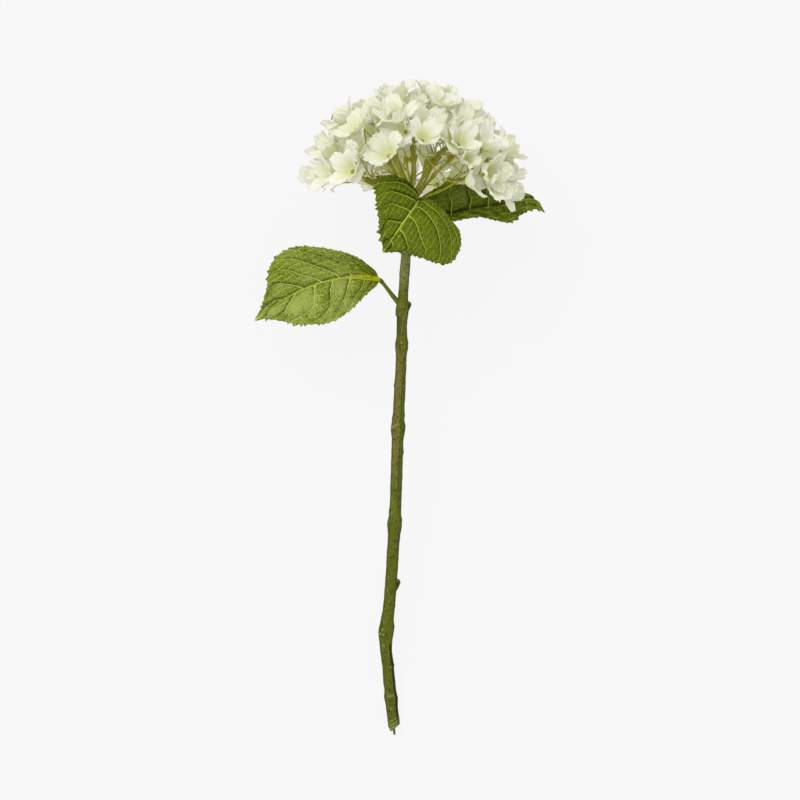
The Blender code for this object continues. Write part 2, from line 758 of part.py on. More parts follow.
def main():
    for old in list(bpy.data.objects):
        bpy.data.objects.remove(old)
    lying = bpy.data.objects.new("lying_flower", None)
    lying.matrix_world = LAY_DOWN
    bpy.context.scene.collection.objects.link(lying)

    bark = material("stem_green", (0.13, 0.13, 0.025), 0.6)
    leaf_green = material("leaf_green", (0.10, 0.15, 0.015), 0.5)
    petal_cream = material("petal_cream", (0.78, 0.80, 0.55), 0.6)
    steel = material("wire_steel", (0.10, 0.10, 0.06), 0.4)

    mesh_object("stem_wire", make_stem(bark, lying), steel, lying, smooth=True)
    seat = mesh_object("stem_seat", stem_shape(SEAT_GAP), bark, lying)
    seat.hide_render = True
    seat.display_type = "WIRE"

    stalks = spray_stalks()
    fixed = [(number, solid_tree(stalk_shape(line, SEAT_GAP / 2))) for number, line in enumerate(stalks)]
    for leaf in LEAVES:
        sheet, rib = leaf_sheet(leaf), leaf_rib(leaf)
        blade = mesh_object(leaf.name, thickened(*sheet, LEAF_THICKNESS), leaf_green, lying)
        joined(blade, [mesh_object(leaf.name + "_rib", rib, leaf_green, lying)])
        seat_against(blade, seat)
        fixed.append((None, solid_tree(thickened(*sheet, LEAF_THICKNESS + 2 * SEAT_GAP))))
        fixed.append((None, solid_tree(rib)))
    make_sprays(stalks, place_florets(stalks, fixed), petal_cream, lying, seat)


main()
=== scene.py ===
"""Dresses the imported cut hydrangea: fabric petals and leaves on moulded green stalks and a moulded stem.

Everything is modelled in the flower's own frame, in metres: +Y runs up the stem, +X to its right and +Z
towards its face, from the hub where the stalks spring. LAY_DOWN then lays it on the floor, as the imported
model lies.
"""

import math
import random
from collections import namedtuple

import bmesh
import bpy
import numpy as np
from mathutils import Matrix, Vector
from mathutils.bvhtree import BVHTree
from mathutils.kdtree import KDTree
from mathutils.noise import noise as smooth_noise


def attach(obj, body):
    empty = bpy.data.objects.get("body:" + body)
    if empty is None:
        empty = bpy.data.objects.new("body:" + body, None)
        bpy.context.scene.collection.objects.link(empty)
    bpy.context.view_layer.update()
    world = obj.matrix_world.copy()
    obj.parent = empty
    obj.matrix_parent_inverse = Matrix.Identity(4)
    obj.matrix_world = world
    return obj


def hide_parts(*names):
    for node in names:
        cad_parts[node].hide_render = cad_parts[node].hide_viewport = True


bl_info = {
    "name": "Cut Hydrangea",
    "version": (1, 0, 0),
    "blender": (4, 5, 0),
    "location": "3D View > Sidebar > Hydrangea",
    "description": "Makes a cut hydrangea with fabric petals and leaves, laid on a pale floor",
    "category": "Add Mesh",
}

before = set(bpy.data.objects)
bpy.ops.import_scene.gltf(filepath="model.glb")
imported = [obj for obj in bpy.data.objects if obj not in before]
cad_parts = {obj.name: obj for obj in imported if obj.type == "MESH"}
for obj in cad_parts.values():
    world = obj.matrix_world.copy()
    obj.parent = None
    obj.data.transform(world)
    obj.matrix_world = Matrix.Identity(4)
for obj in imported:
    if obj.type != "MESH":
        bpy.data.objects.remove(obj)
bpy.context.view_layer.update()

# ---------------------------------------------------------------- the model's own values

SEED = 10
TIP_ANGLE = math.radians(9.54)
HUB_HEIGHT = 0.0697
LAY_DOWN = Matrix.Translation((0.0114, 0.1538, HUB_HEIGHT)) @ Matrix.Rotation(TIP_ANGLE, 4, "X")
TURN_DOWN = np.array(LAY_DOWN.to_3x3())
UP = np.array(LAY_DOWN.to_3x3().inverted() @ Vector((0, 0, 1)))

STEM_LINE = (
    (-0.0030, -0.0045, 0.0),
    (-0.0045, -0.0220, 0.0),
    (-0.0070, -0.0480, 0.0),
    (-0.0094, -0.0850, 0.0),
    (-0.0100, -0.1190, 0.0),
    (-0.0122, -0.1640, 0.0),
    (-0.0140, -0.2170, 0.0),
    (-0.0156, -0.2520, 0.0),
    (-0.0185, -0.2970, 0.0),
    (-0.0216, -0.3280, 0.0),
    (-0.0196, -0.3520, 0.0),
    (-0.0170, -0.3800, 0.0),
    (-0.0156, -0.3950, 0.0),
)
CROWN_RADIUS = 0.0060
NECK_RADIUS = 0.0035
FOOT_RADIUS = 0.0043
CUT_SLOPE = 0.75
WIRE_RADIUS = 0.0009
WIRE_INSIDE = 0.014
WIRE_OUTSIDE = 0.0045

# Swellings of the stem: distance down from the hub, added radius, length, and the side of the scar (degrees
# from +X towards +Z)
Swelling = namedtuple("Swelling", "down swell length scar")
STEM_NODES = (
    Swelling(0.084, 0.0011, 0.006, 180.0),
    Swelling(0.112, 0.0009, 0.005, 60.0),
    Swelling(0.173, 0.0010, 0.006, 115.0),
    Swelling(0.244, 0.0011, 0.006, 60.0),
    Swelling(0.323, 0.0013, 0.008, 150.0),
    Swelling(0.372, 0.0006, 0.004, 95.0),
)
# Pale scars of the bark: distance down, turn in degrees from +X towards +Z, half width in radians, slope in
# metres a radian, strength
Scar = namedtuple("Scar", "down turn spread slope strength")
STEM_SCARS = (
    Scar(0.0500, 90.0, 1.00, 0.0000, 0.45),
    Scar(0.1095, 95.0, 0.25, -0.0006, 0.55),
    Scar(0.1712, 128.0, 0.62, 0.0024, 0.95),
    Scar(0.2360, 140.0, 0.25, 0.0010, 0.40),
    Scar(0.3216, 118.0, 0.20, -0.0012, 0.70),
    Scar(0.3250, 148.0, 0.26, 0.0012, 0.95),
    Scar(0.3254, 112.0, 0.16, 0.0006, 0.70),
    Scar(0.3330, 118.0, 0.22, 0.0006, 0.80),
    Scar(0.3494, 66.0, 0.24, 0.0012, 0.75),
    Scar(0.3606, 100.0, 0.14, 0.0000, 0.45),
    Scar(0.3704, 108.0, 0.20, -0.0016, 0.85),
    Scar(0.3706, 74.0, 0.20, 0.0014, 0.70),
)
# Small steps at the sides of the bark: distance down, turn in degrees, height
Ledge = namedtuple("Ledge", "down turn height")
STEM_LEDGES = (
    Ledge(0.0590, 0.0, 0.00035),
    Ledge(0.0600, 180.0, 0.00020),
    Ledge(0.0890, 180.0, 0.00070),
    Ledge(0.1096, 10.0, 0.00045),
    Ledge(0.1100, 175.0, 0.00050),
    Ledge(0.1418, 180.0, 0.00060),
    Ledge(0.1636, 0.0, 0.00060),
    Ledge(0.1660, 180.0, 0.00050),
    Ledge(0.1712, 0.0, 0.00040),
    Ledge(0.1907, 0.0, 0.00050),
    Ledge(0.2352, 180.0, 0.00050),
    Ledge(0.2404, 5.0, 0.00060),
    Ledge(0.3190, 0.0, 0.00070),
    Ledge(0.3486, 0.0, 0.00055),
    Ledge(0.3620, 180.0, 0.00040),
    Ledge(0.3706, 180.0, 0.00045),
)
Bud = namedtuple("Bud", "down side length")
BUDS = (Bud(0.083, 0.0, 0.0085), Bud(0.2890, 0.0, 0.0100), Bud(0.243, 150.0, 0.0050))

# sweep is how far the side veins run on towards the tip in the left and right half, in gaps between two of
# them; the value after it is how worn the print is and how much painted sheen greys the blade, rib_shine how
# yellow the print is, and tooth is the size of the teeth
Leaf = namedtuple("Leaf", "name root petiole_radius sweep bleach rib_shine tooth midrib left right")
LEAVES = (
    Leaf(
        name="leaf_lower",
        root=(-0.0094, -0.0835, 0.0005),
        petiole_radius=0.0017,
        sweep=(2.3, 3.4),
        bleach=1.0,
        rib_shine=1.0,
        tooth=0.6,
        midrib=(
            (-0.0259, -0.0629, 0.0040), (-0.0363, -0.0614, 0.0060), (-0.0481, -0.0611, 0.0080),
            (-0.0607, -0.0629, 0.0090), (-0.0740, -0.0666, 0.0090), (-0.0881, -0.0725, 0.0070),
            (-0.1043, -0.0821, 0.0030), (-0.1191, -0.0932, -0.0020),
        ),
        left=(
            (-0.0296, -0.0681, 0.0050), (-0.0385, -0.0762, 0.0070), (-0.0481, -0.0858, 0.0080),
            (-0.0629, -0.0947, 0.0080), (-0.0851, -0.0962, 0.0060), (-0.1036, -0.0932, 0.0030),
        ),
        right=(
            (-0.0311, -0.0548, 0.0060), (-0.0466, -0.0444, 0.0090), (-0.0696, -0.0392, 0.0100),
            (-0.0918, -0.0392, 0.0090), (-0.1066, -0.0511, 0.0060), (-0.1110, -0.0733, 0.0020),
        ),
    ),
    Leaf(
        name="leaf_front",
        root=(-0.0035, -0.0115, 0.0000),
        petiole_radius=0.0021,
        sweep=(4.0, 2.5),
        bleach=0.04,
        rib_shine=0.25,
        tooth=0.9,
        midrib=(
            (-0.0007, -0.0081, 0.0100), (0.0015, -0.0052, 0.0240), (0.0022, -0.0059, 0.0370),
            (0.0000, -0.0104, 0.0480), (-0.0052, -0.0178, 0.0560), (-0.0118, -0.0274, 0.0600),
            (-0.0178, -0.0363, 0.0610), (-0.0237, -0.0444, 0.0600),
        ),
        left=(
            (0.0096, -0.0081, 0.0130), (0.0215, -0.0141, 0.0200), (0.0303, -0.0259, 0.0290),
            (0.0333, -0.0407, 0.0380), (0.0229, -0.0533, 0.0470), (-0.0015, -0.0466, 0.0560),
        ),
        right=(
            (-0.0074, 0.0044, 0.0260), (-0.0163, 0.0126, 0.0380), (-0.0281, 0.0104, 0.0460),
            (-0.0296, 0.0007, 0.0520), (-0.0281, -0.0148, 0.0570), (-0.0259, -0.0333, 0.0600),
        ),
    ),
    Leaf(
        name="leaf_right",
        root=(-0.0035, -0.0125, 0.0000),
        petiole_radius=0.0021,
        sweep=(0.8, 1.7),
        bleach=0.2,
        rib_shine=0.1,
        tooth=1.0,
        midrib=(
            (0.0067, -0.0081, -0.0080), (0.0163, -0.0133, -0.0090), (0.0274, -0.0141, -0.0080),
            (0.0407, -0.0111, -0.0050), (0.0548, -0.0089, -0.0020), (0.0696, -0.0067, 0.0000),
            (0.0873, -0.0030, 0.0030), (0.0962, -0.0133, 0.0070),
        ),
        left=(
            (0.0096, 0.0007, -0.0050), (0.0192, 0.0074, -0.0070), (0.0333, 0.0089, -0.0090),
            (0.0503, 0.0074, -0.0110), (0.0681, 0.0037, -0.0090), (0.0836, -0.0015, -0.0040),
        ),
        right=(
            (0.0141, -0.0185, -0.0030), (0.0252, -0.0200, 0.0050), (0.0392, -0.0178, 0.0090),
            (0.0555, -0.0185, 0.0120), (0.0718, -0.0207, 0.0120), (0.0858, -0.0126, 0.0090),
        ),
    ),
)
LEAF_BULGE = 0.09
PETIOLE_SWELL = 0.35

DOME_RADIUS = 0.0675
Ring = namedtuple("Ring", "polar count start skipped")
FLORET_RINGS = (
    Ring(12.0, 4, 30.0, ()),
    Ring(29.0, 8, 5.0, ()),
    Ring(46.0, 12, 18.0, ()),
    Ring(62.0, 14, 10.0, ()),
    Ring(78.0, 16, -6.0, (0, 3, 4, 5, 15)),
)
FRONT_RISE = 9.0
FRONT_AZIMUTH = 85.0
FRONT_NARROWNESS = 6
SPRAY_RINGS = (Ring(0.0, 1, 0.0, ()), Ring(40.0, 4, 38.0, ()), Ring(70.0, 7, 12.0, ()))
FORK_SHARE = 0.56
PETALS = 4
PETAL_TURN = 2 * math.pi / PETALS
PETAL_LENGTH = 0.0220
PETAL_HALF_WIDTH = 0.0110
PETAL_THICKNESS = 0.0007
EYE_RADIUS = 0.0027
CLEFT_ANGLE = math.radians(41.5)
CUP_ANGLE = math.radians(51.0)
REFLEX_ANGLE = math.radians(22.0)
CALYX_LENGTH = 0.0050
TIP_SIDES = (-1.0, -0.5, 0.0, 0.5, 1.0)


# ---------------------------------------------------------------- sizes and colours that a user would change


def distance(name, description, default, top=0.01):
    return bpy.props.FloatProperty(
        name=name, description=description, default=default, min=0.0, max=top, precision=5, unit="LENGTH"
    )


def colour(name, description, default):
    return bpy.props.FloatVectorProperty(
        name=name, description=description, default=default, size=3, min=0.0, max=1.0, subtype="COLOR"
    )


def share(name, description, default):
    return bpy.props.FloatProperty(
        name=name, description=description, default=default, min=0.0, max=1.0, subtype="FACTOR"
    )


def amount(name, description, default, least=0.0, kind="NONE"):
    return bpy.props.FloatProperty(name=name, description=description, default=default, min=least, unit=kind)


class PetalSettings(bpy.types.PropertyGroup):
    fabric: distance("Fabric", "Thickness of the petal fabric", 0.00026)
    ripple: distance("Ripple", "Height of the waves along a petal's rim", 0.00100)
    tooth: distance("Tooth", "Depth of the nicks in a petal's tip", 0.00190)
    jag: distance("Jag", "Depth of the small teeth along a petal's sides", 0.00060)
    cream: colour("Cream", "Main colour of the petals", (0.950, 0.948, 0.915))
    throat: colour("Throat", "Yellow-green towards a floret's middle", (0.865, 0.890, 0.510))
    rim: colour("Rim", "Paler rim of the petals", (0.955, 0.950, 0.935))
    glow: share("Glow", "Share of the light that passes through a petal", 0.50)
    fillers: bpy.props.IntProperty(
        name="Fill florets",
        description="Smaller florets that fill the widest gaps of the dome",
        default=38,
        min=0,
    )


class LeafSettings(bpy.types.PropertyGroup):
    fabric: distance("Fabric", "Thickness of the leaf fabric", 0.00045)
    quilting: distance("Quilting", "Height of the blade between two side veins", 0.0024)
    tooth: distance("Tooth", "Depth of the teeth along the margin", 0.0027)
    blade: colour("Blade", "Main green of the upper face", (0.094, 0.134, 0.0040))
    # the fold green is painted shade, put beside the folds on their sides away from the light
    blade_fold_shade: colour("Deep blade", "Darker green in the folds", (0.012, 0.021, 0.0010))
    # the greyer green is worn print and painted sheen together, strongest on the lower leaf
    wear_and_sheen_green: colour("Bleached", "Greyer green where the print is worn thin", (0.370, 0.440, 0.120))
    vein: colour("Veins", "Printed colour of the veins", (0.42, 0.50, 0.045))
    under: colour("Underside", "Paler green of the lower face", (0.190, 0.250, 0.055))


class StemSettings(bpy.types.PropertyGroup):
    groove: distance("Grooves", "Depth of the long grooves", 0.00026)
    collar: distance("Collars", "Height of the ring at each node", 0.00016)
    bark: colour("Bark", "Main olive green of the stem", (0.128, 0.138, 0.014))
    bark_deep: colour("Deep bark", "Darker green in the grooves", (0.050, 0.060, 0.005))
    bark_green: colour("Green bark", "Fresher green low down and beside the cleft", (0.078, 0.098, 0.0055))
    scar: colour("Scars", "Pale scars at the nodes", (0.30, 0.32, 0.11))
    wire: colour("Wire", "Colour of the wire core", (0.075, 0.070, 0.045))


class StalkSettings(bpy.types.PropertyGroup):
    stalk: distance("Stalk", "Radius of a spray's stalk", 0.00114)
    cushion: distance("Cushion", "Radius of the cushion where a stalk forks", 0.00215)
    pedicel: distance("Pedicel", "Radius of the thin stalk of one floret", 0.00046)
    stalk_green: colour("Green", "Green at the foot of the stalks", (0.30, 0.345, 0.070))
    stalk_olive: colour("Olive", "Olive yellow of the stalks", (0.47, 0.455, 0.050))
    stalk_brown: colour("Brown", "Brown of the forks", (0.33, 0.295, 0.026))


class StageSettings(bpy.types.PropertyGroup):
    lens: amount("Lens", "Focal length", 200.0, least=20.0, kind="CAMERA")
    field: distance("Field", "Width of the camera's view at the stem", 0.592, top=5.0)
    backdrop: share("Backdrop", "Brightness of the backdrop and the floor", 0.938)
    sky: share("Sky", "Brightness of the even light from all round", 1.0)
    sun: amount("Sun", "Strength of the soft main light", 1.07)


# ---------------------------------------------------------------- curves and meshes by rule


def smooth_step(low, high, value):
    """From 0 to 1 as the value goes from low to high."""
    part = np.clip((value - low) / (high - low), 0.0, 1.0)
    return part * part * (3.0 - 2.0 * part)


def hump(value, width):
    """1 at zero, and next to nothing from twice the width on."""
    return np.exp(-((value / width) ** 2))


def band(value, middle, width):
    """A narrow band round a middle value, of about the given half width."""
    return hump(value - middle, width)


def on_curve(points, along):
    """Points at shares of a smooth (Catmull-Rom) curve through the given points."""
    guide = np.asarray(points, float)
    last = len(guide) - 1
    reached = np.atleast_1d(np.asarray(along, float)) * last
    at = np.minimum(reached.astype(int), last - 1)
    t = (reached - at)[:, None]
    before = np.vstack([2 * guide[0] - guide[1], guide])
    after = np.vstack([guide, 2 * guide[-1] - guide[-2]])
    a, b, c, d = before[at], guide[at], guide[at + 1], after[at + 2]
    return 0.5 * (2 * b + (c - a) * t + (2 * a - 5 * b + 4 * c - d) * t**2 + (3 * b - a - 3 * c + d) * t**3)


def evenly_along(points, count):
    """Points at even distances along a smooth curve through the given ones."""
    dense = on_curve(points, np.linspace(0, 1, 60 * len(points)))
    gone = np.concatenate([[0.0], np.cumsum(np.linalg.norm(np.diff(dense, axis=0), axis=1))])
    wanted = np.linspace(0, gone[-1], count)
    return np.stack([np.interp(wanted, gone, dense[:, k]) for k in range(3)], axis=1)


def any_phase(draw):
    """Where a wave starts: anywhere in nearly a full turn."""
    return draw.uniform(0, 6.28)


def unit(vectors):
    return vectors / np.maximum(np.linalg.norm(vectors, axis=-1, keepdims=True), 1e-12)


def carried_frames(line):
    """Two unit vectors across the line at each of its points, carried along it without twisting."""
    ways = unit(np.gradient(line, axis=0))
    side = np.cross(ways[0], (0.0, 0.0, 1.0))
    if np.linalg.norm(side) < 0.1:
        side = np.cross(ways[0], (1.0, 0.0, 0.0))
    sides = []
    for way in ways:
        side = unit(side - np.dot(side, way) * way)
        sides.append(side)
    sides = np.array(sides)
    return sides, np.cross(sides, ways), ways


def swept(line, radii, sides, start=0):
    """Points and faces of a closed tube; radii holds a radius, or a row of them, for each of its points."""
    rows = len(line)
    first, second, _ = carried_frames(line)
    turns = np.linspace(0, 2 * math.pi, sides, endpoint=False)
    radii = np.broadcast_to(np.asarray(radii, float).reshape(rows, -1), (rows, sides))[:, :, None]
    ring = np.cos(turns)[None, :, None] * first[:, None] + np.sin(turns)[None, :, None] * second[:, None]
    points = (line[:, None] + radii * ring).reshape(-1, 3)
    faces = grid_faces(rows, sides, True, start)
    ends = [tuple(start + k for k in reversed(range(sides)))]
    ends.append(tuple(start + (rows - 1) * sides + k for k in range(sides)))
    return points, faces + ends


def grid_faces(rows, columns, closed=False, start=0):
    """Four-sided faces of a grid of points, stored row by row."""
    faces = []
    for i in range(rows - 1):
        for k in range(columns if closed else columns - 1):
            a, b = start + i * columns + k, start + i * columns + (k + 1) % columns
            faces.append((a, b, b + columns, a + columns))
    return faces


def grid_normals(grid):
    """Unit normals of a grid of points (rows, columns, 3)."""
    return unit(np.cross(np.gradient(grid, axis=1), np.gradient(grid, axis=0)))


def lifted(points, least=0.0):
    """Points, raised where they would reach below the floor."""
    height = HUB_HEIGHT + points @ UP
    return points + np.maximum(least - height, 0.0)[..., None] * UP


WELD = 0.000002


def piece(name, points, faces, materials, solid, maps=None, weld=False):
    """A mesh object of the flower, laid down with it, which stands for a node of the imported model."""
    mesh = bpy.data.meshes.new(name)
    mesh.from_pydata((np.asarray(points) @ TURN_DOWN.T + np.array(LAY_DOWN.translation)).tolist(), [], faces)
    for label, values in (maps or {}).items():
        values = np.asarray(values, np.float32)
        kind = "FLOAT" if values.ndim == 1 else "FLOAT_VECTOR"
        layer = mesh.attributes.new(label, kind, "POINT")
        layer.data.foreach_set("value" if values.ndim == 1 else "vector", values.ravel())
    if weld:
        shell = bmesh.new()
        shell.from_mesh(mesh)
        bmesh.ops.remove_doubles(shell, verts=shell.verts, dist=WELD)
        shell.to_mesh(mesh)
        shell.free()
    for material in materials:
        mesh.materials.append(material)
    mesh.shade_smooth()
    made = bpy.data.objects.new(name, mesh)
    bpy.context.scene.collection.objects.link(made)
    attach(made, "root")
    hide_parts(solid)
    return made


def fabric(made, thickness, under=0):
    """Gives an open sheet the thickness of its fabric; under is the step to the lower face's material."""
    shell = made.modifiers.new("Fabric", "SOLIDIFY")
    shell.thickness = thickness
    shell.offset = 0.0
    shell.material_offset = under
    shell.material_offset_rim = under


# ---------------------------------------------------------------- material nodes


def finish(name):
    """An empty node material, and its tree."""
    made = bpy.data.materials.new(name)
    made.use_nodes = True
    made.node_tree.nodes.clear()
    return made, made.node_tree


def finished(made, shader):
    """The material, with its shader joined to an output."""
    output = made.node_tree.nodes.new("ShaderNodeOutputMaterial")
    made.node_tree.links.new(shader, output.inputs["Surface"])
    return made


def node(tree, kind, inputs=None, **settings):
    made = tree.nodes.new("ShaderNode" + kind)
    for key, value in settings.items():
        setattr(made, key, value)
    for key, value in (inputs or {}).items():
        if isinstance(value, bpy.types.NodeSocket):
            tree.links.new(value, made.inputs[key])
        else:
            made.inputs[key].default_value = value
    return made


def reckon(tree, operation, first, second=0.0):
    return node(tree, "Math", {0: first, 1: second}, operation=operation).outputs[0]


def times(tree, first, second):
    return reckon(tree, "MULTIPLY", first, second)


def plus(tree, first, second):
    return reckon(tree, "ADD", first, second)


def stepped(tree, value, low, high, bottom=0.0, top=1.0):
    """A value from bottom to top, as the given one goes smoothly from low to high."""
    return node(
        tree,
        "MapRange",
        {"Value": value, "From Min": low, "From Max": high, "To Min": bottom, "To Max": top},
        interpolation_type="SMOOTHSTEP",
    ).outputs["Result"]


def blended(tree, part, first, second, how="MIX"):
    """A colour between the first and the second, by a share."""
    made = tree.nodes.new("ShaderNodeMix")
    made.data_type = "RGBA"
    made.blend_type = how
    for key, value in ((0, part), (6, first), (7, second)):
        if isinstance(value, bpy.types.NodeSocket):
            tree.links.new(value, made.inputs[key])
        elif key == 0:
            made.inputs[key].default_value = value
        else:
            made.inputs[key].default_value = (*value[:3], 1.0)
    return made.outputs[2]


def coats(tree, tone, *layers):
    """A colour under further ones, each given by its share and its colour."""
    for part, over in layers:
        tone = blended(tree, part, tone, over)
    return tone


def scaled(tone, part):
    return tuple(part * value for value in tone)


def value_map(tree, label):
    """What a piece's map of one value holds."""
    return node(tree, "Attribute", attribute_name=label).outputs["Fac"]


def vector_map(tree, label, whole=False):
    """What a piece's map of three values holds, as one vector or as its three parts."""
    vector = node(tree, "Attribute", attribute_name=label).outputs["Vector"]
    return vector if whole else parts_of(tree, vector)


def parts_of(tree, vector):
    return node(tree, "SeparateXYZ", {0: vector}).outputs


def place(tree, x, y, z=0.0):
    return node(tree, "CombineXYZ", {0: x, 1: y, 2: z}).outputs[0]


def grain(tree, scale, detail=2.0, vector=None, roughness=0.5):
    """Soft noise, in the object's own coordinates unless a vector is given."""
    if vector is None:
        vector = node(tree, "TexCoord").outputs["Object"]
    inputs = {"Scale": scale, "Detail": detail, "Roughness": roughness, "Vector": vector}
    return node(tree, "TexNoise", inputs).outputs["Fac"]


def bumped(tree, height, strength, depth):
    return node(tree, "Bump", {"Height": height, "Strength": strength, "Distance": depth}).outputs[0]


def coated(tree, tone, roughness, specular, normal, metallic=0.0):
    """An opaque shader."""
    inputs = {
        "Base Color": tone,
        "Roughness": roughness,
        "Specular IOR Level": specular,
        "Normal": normal,
        "Metallic": metallic,
    }
    return node(tree, "BsdfPrincipled", inputs).outputs[0]


# ---------------------------------------------------------------- stage

SENSOR = 36.0  # width of the camera's sensor, in millimetres
VIEW_CENTRE = (-0.0111, -0.1517)  # middle of the view, in the flower's frame
CLIPPING = (0.05, 60.0)
KEY_FROM = (-0.58, 0.75, 1.10)  # direction of the main light, in the flower's frame
KEY_SPREAD = math.radians(40.0)
FLOOR_WHITE = 0.05
FLOOR_REACH = 30.0


class HYDRANGEA_OT_stage(bpy.types.Operator):
    """Sets the floor, the soft light and the camera square above the stem"""

    bl_idname = "hydrangea.stage"
    bl_label = "Set the stage"

    def execute(self, context):
        stage = context.scene.hydrangea_stage
        scene = context.scene
        camera = bpy.data.cameras.new("Camera")
        camera.lens = stage.lens
        camera.sensor_width = SENSOR
        camera.clip_start, camera.clip_end = CLIPPING
        eye = bpy.data.objects.new("Camera", camera)
        scene.collection.objects.link(eye)
        away = stage.field * stage.lens / SENSOR
        eye.matrix_world = LAY_DOWN @ Matrix.Translation((*VIEW_CENTRE, away))
        scene.camera = eye

        world = bpy.data.worlds.new("Backdrop")
        world.use_nodes = True
        tree = world.node_tree
        seen = node(tree, "Background", {"Strength": stage.backdrop}).outputs[0]
        even = node(tree, "Background", {"Strength": stage.sky}).outputs[0]
        for light in (seen, even):
            light.node.inputs["Color"].default_value = (1.0, 1.0, 1.0, 1.0)
        path = node(tree, "LightPath").outputs["Is Camera Ray"]
        both = node(tree, "MixShader", {0: path, 1: even, 2: seen}).outputs[0]
        tree.links.new(both, tree.nodes["World Output"].inputs["Surface"])
        scene.world = world
        sun = bpy.data.lights.new("Key", "SUN")
        sun.energy = stage.sun
        sun.angle = KEY_SPREAD
        key = bpy.data.objects.new("Key", sun)
        turned = Vector(KEY_FROM).normalized().to_track_quat("Z", "Y").to_matrix()
        key.matrix_world = (LAY_DOWN.to_3x3() @ turned).to_4x4()
        scene.collection.objects.link(key)

        corners = [(x * FLOOR_REACH, y * FLOOR_REACH, 0) for x, y in ((-1, -1), (1, -1), (1, 1), (-1, 1))]
        mesh = bpy.data.meshes.new("floor")
        mesh.from_pydata(corners, [], [(0, 1, 2, 3)])
        floor = bpy.data.objects.new("floor", mesh)
        scene.collection.objects.link(floor)
        # The floor glows by what the lights leave it short of the backdrop
        paper, tree = finish("pale_floor")
        facing = max((key.matrix_world.to_3x3() @ Vector((0, 0, 1))).z, 0.0)
        lit = FLOOR_WHITE * (stage.sky + stage.sun * facing / math.pi)
        matt = node(tree, "BsdfDiffuse", {"Color": (FLOOR_WHITE, FLOOR_WHITE, FLOOR_WHITE, 1.0)}).outputs[0]
        glow = node(tree, "Emission", {"Strength": stage.backdrop - lit}).outputs[0]
        mesh.materials.append(finished(paper, node(tree, "AddShader", {0: matt, 1: glow}).outputs[0]))

        scene.view_settings.view_transform = "Standard"
        scene.view_settings.look = "None"
        return {"FINISHED"}


# ---------------------------------------------------------------- stem

STEM_ROWS = 620
STEM_SIDES = 48
CLEFT_TURN = 1.16  # the long cleft of the bark, in radians from +X towards +Z
CLEFT_DEPTH = 0.00030
SHADOW_STRIP_TURN = 0.46  # a shallow hollow low on the stem's side away from the light, painted very dark as its shadow
SHADOW_STRIP_DEPTH = 0.00025
# a patch of painted shade just below the lower leaf's petiole, on the side towards the leaf
SHADE_PATCH_TURN = 2.6
# Where the parts of the bark begin and end, each from nothing to full, in distances down from the hub
CLEFT_SPAN = ((0.114, 0.124), (0.242, 0.228))
BROWN_END = (0.222, 0.195)
GREEN_START = (0.225, 0.250)
SHADOW_STRIP_START = (0.329, 0.336)
SHADE_PATCH_SPAN = ((0.088, 0.091), (0.108, 0.098))
PALE_SPAN = ((0.030, 0.044), (0.074, 0.060))
# Ridges across the bark: how soon they fall off before and after their edge
NODE_RIDGE = (0.0006, 0.0011)
LEDGE_RIDGE = (0.0022, 0.0004)
# Dark rings behind those ridges and the scars: distance past the edge, and half width
NODE_RING = (0.0012, 0.0004)
SCAR_RING = (0.0010, 0.0005)
LEDGE_RING = (0.0009, 0.0004)
SCAR_WIDTH = 0.00055
SCAR_RISE = 0.00022
CUT_STEPS = ((0.0016, 0.9), (0.0040, 0.7), (0.0066, 0.5))  # pale steps above the cut: height, strength
CUT_STEP_RISE = 0.00018
CROWN_RINGS = np.array([0.985, 0.93, 0.82, 0.65, 0.42, 0.18])  # of the rounded top, as shares of its radius
CUT_POINT = 2.6  # how much steeper the far side of the cut is, which makes its tip a V
CUT_RINGS = ((0.86, 0.0), (0.62, 0.00018), (0.40, 0.0), (0.24, 0.0))  # of the cut face: radius share, rise


def stem_radius(down):
    """The stem's radius at distances down from the hub, as packed."""
    radius = NECK_RADIUS + (FOOT_RADIUS - NECK_RADIUS) * smooth_step(0.03, 0.20, down)
    radius = radius + (CROWN_RADIUS - NECK_RADIUS) * (1 - smooth_step(0.004, 0.022, down))
    for knot in STEM_NODES:
        radius = radius + knot.swell * hump(down - knot.down, knot.length)
    return radius


def turned_from(turns, turn):
    """Angles round the stem from the given one, from -pi to pi."""
    return np.angle(np.exp(1j * (turns - turn)))


def stepped_edge(off, before, after):
    """A ridge that falls off over one length before its edge and over another after it."""
    return np.exp(-np.abs(off) / after) * (off > 0) + np.exp(-np.abs(off) / before) * (off <= 0)


def bark_relief(down, turns, drift):
    """Long waves that run down the bark, and lumps on them."""
    waves = 0.55 * np.sin(5 * turns + drift) + 0.35 * np.sin(9 * turns - 1.4 * drift + 0.6)
    waves += 0.30 * np.sin(14 * turns + 2.2 * drift + 2.0)
    lumps = [
        [
            smooth_noise((math.cos(a) * 1.6, math.sin(a) * 1.6, d * 170.0))
            + 0.5 * smooth_noise((math.cos(a) * 4.0, math.sin(a) * 4.0, d * 520.0 + 9.0))
            for a in turns[0]
        ]
        for d in down[:, 0]
    ]
    return waves + 0.9 * np.array(lumps)


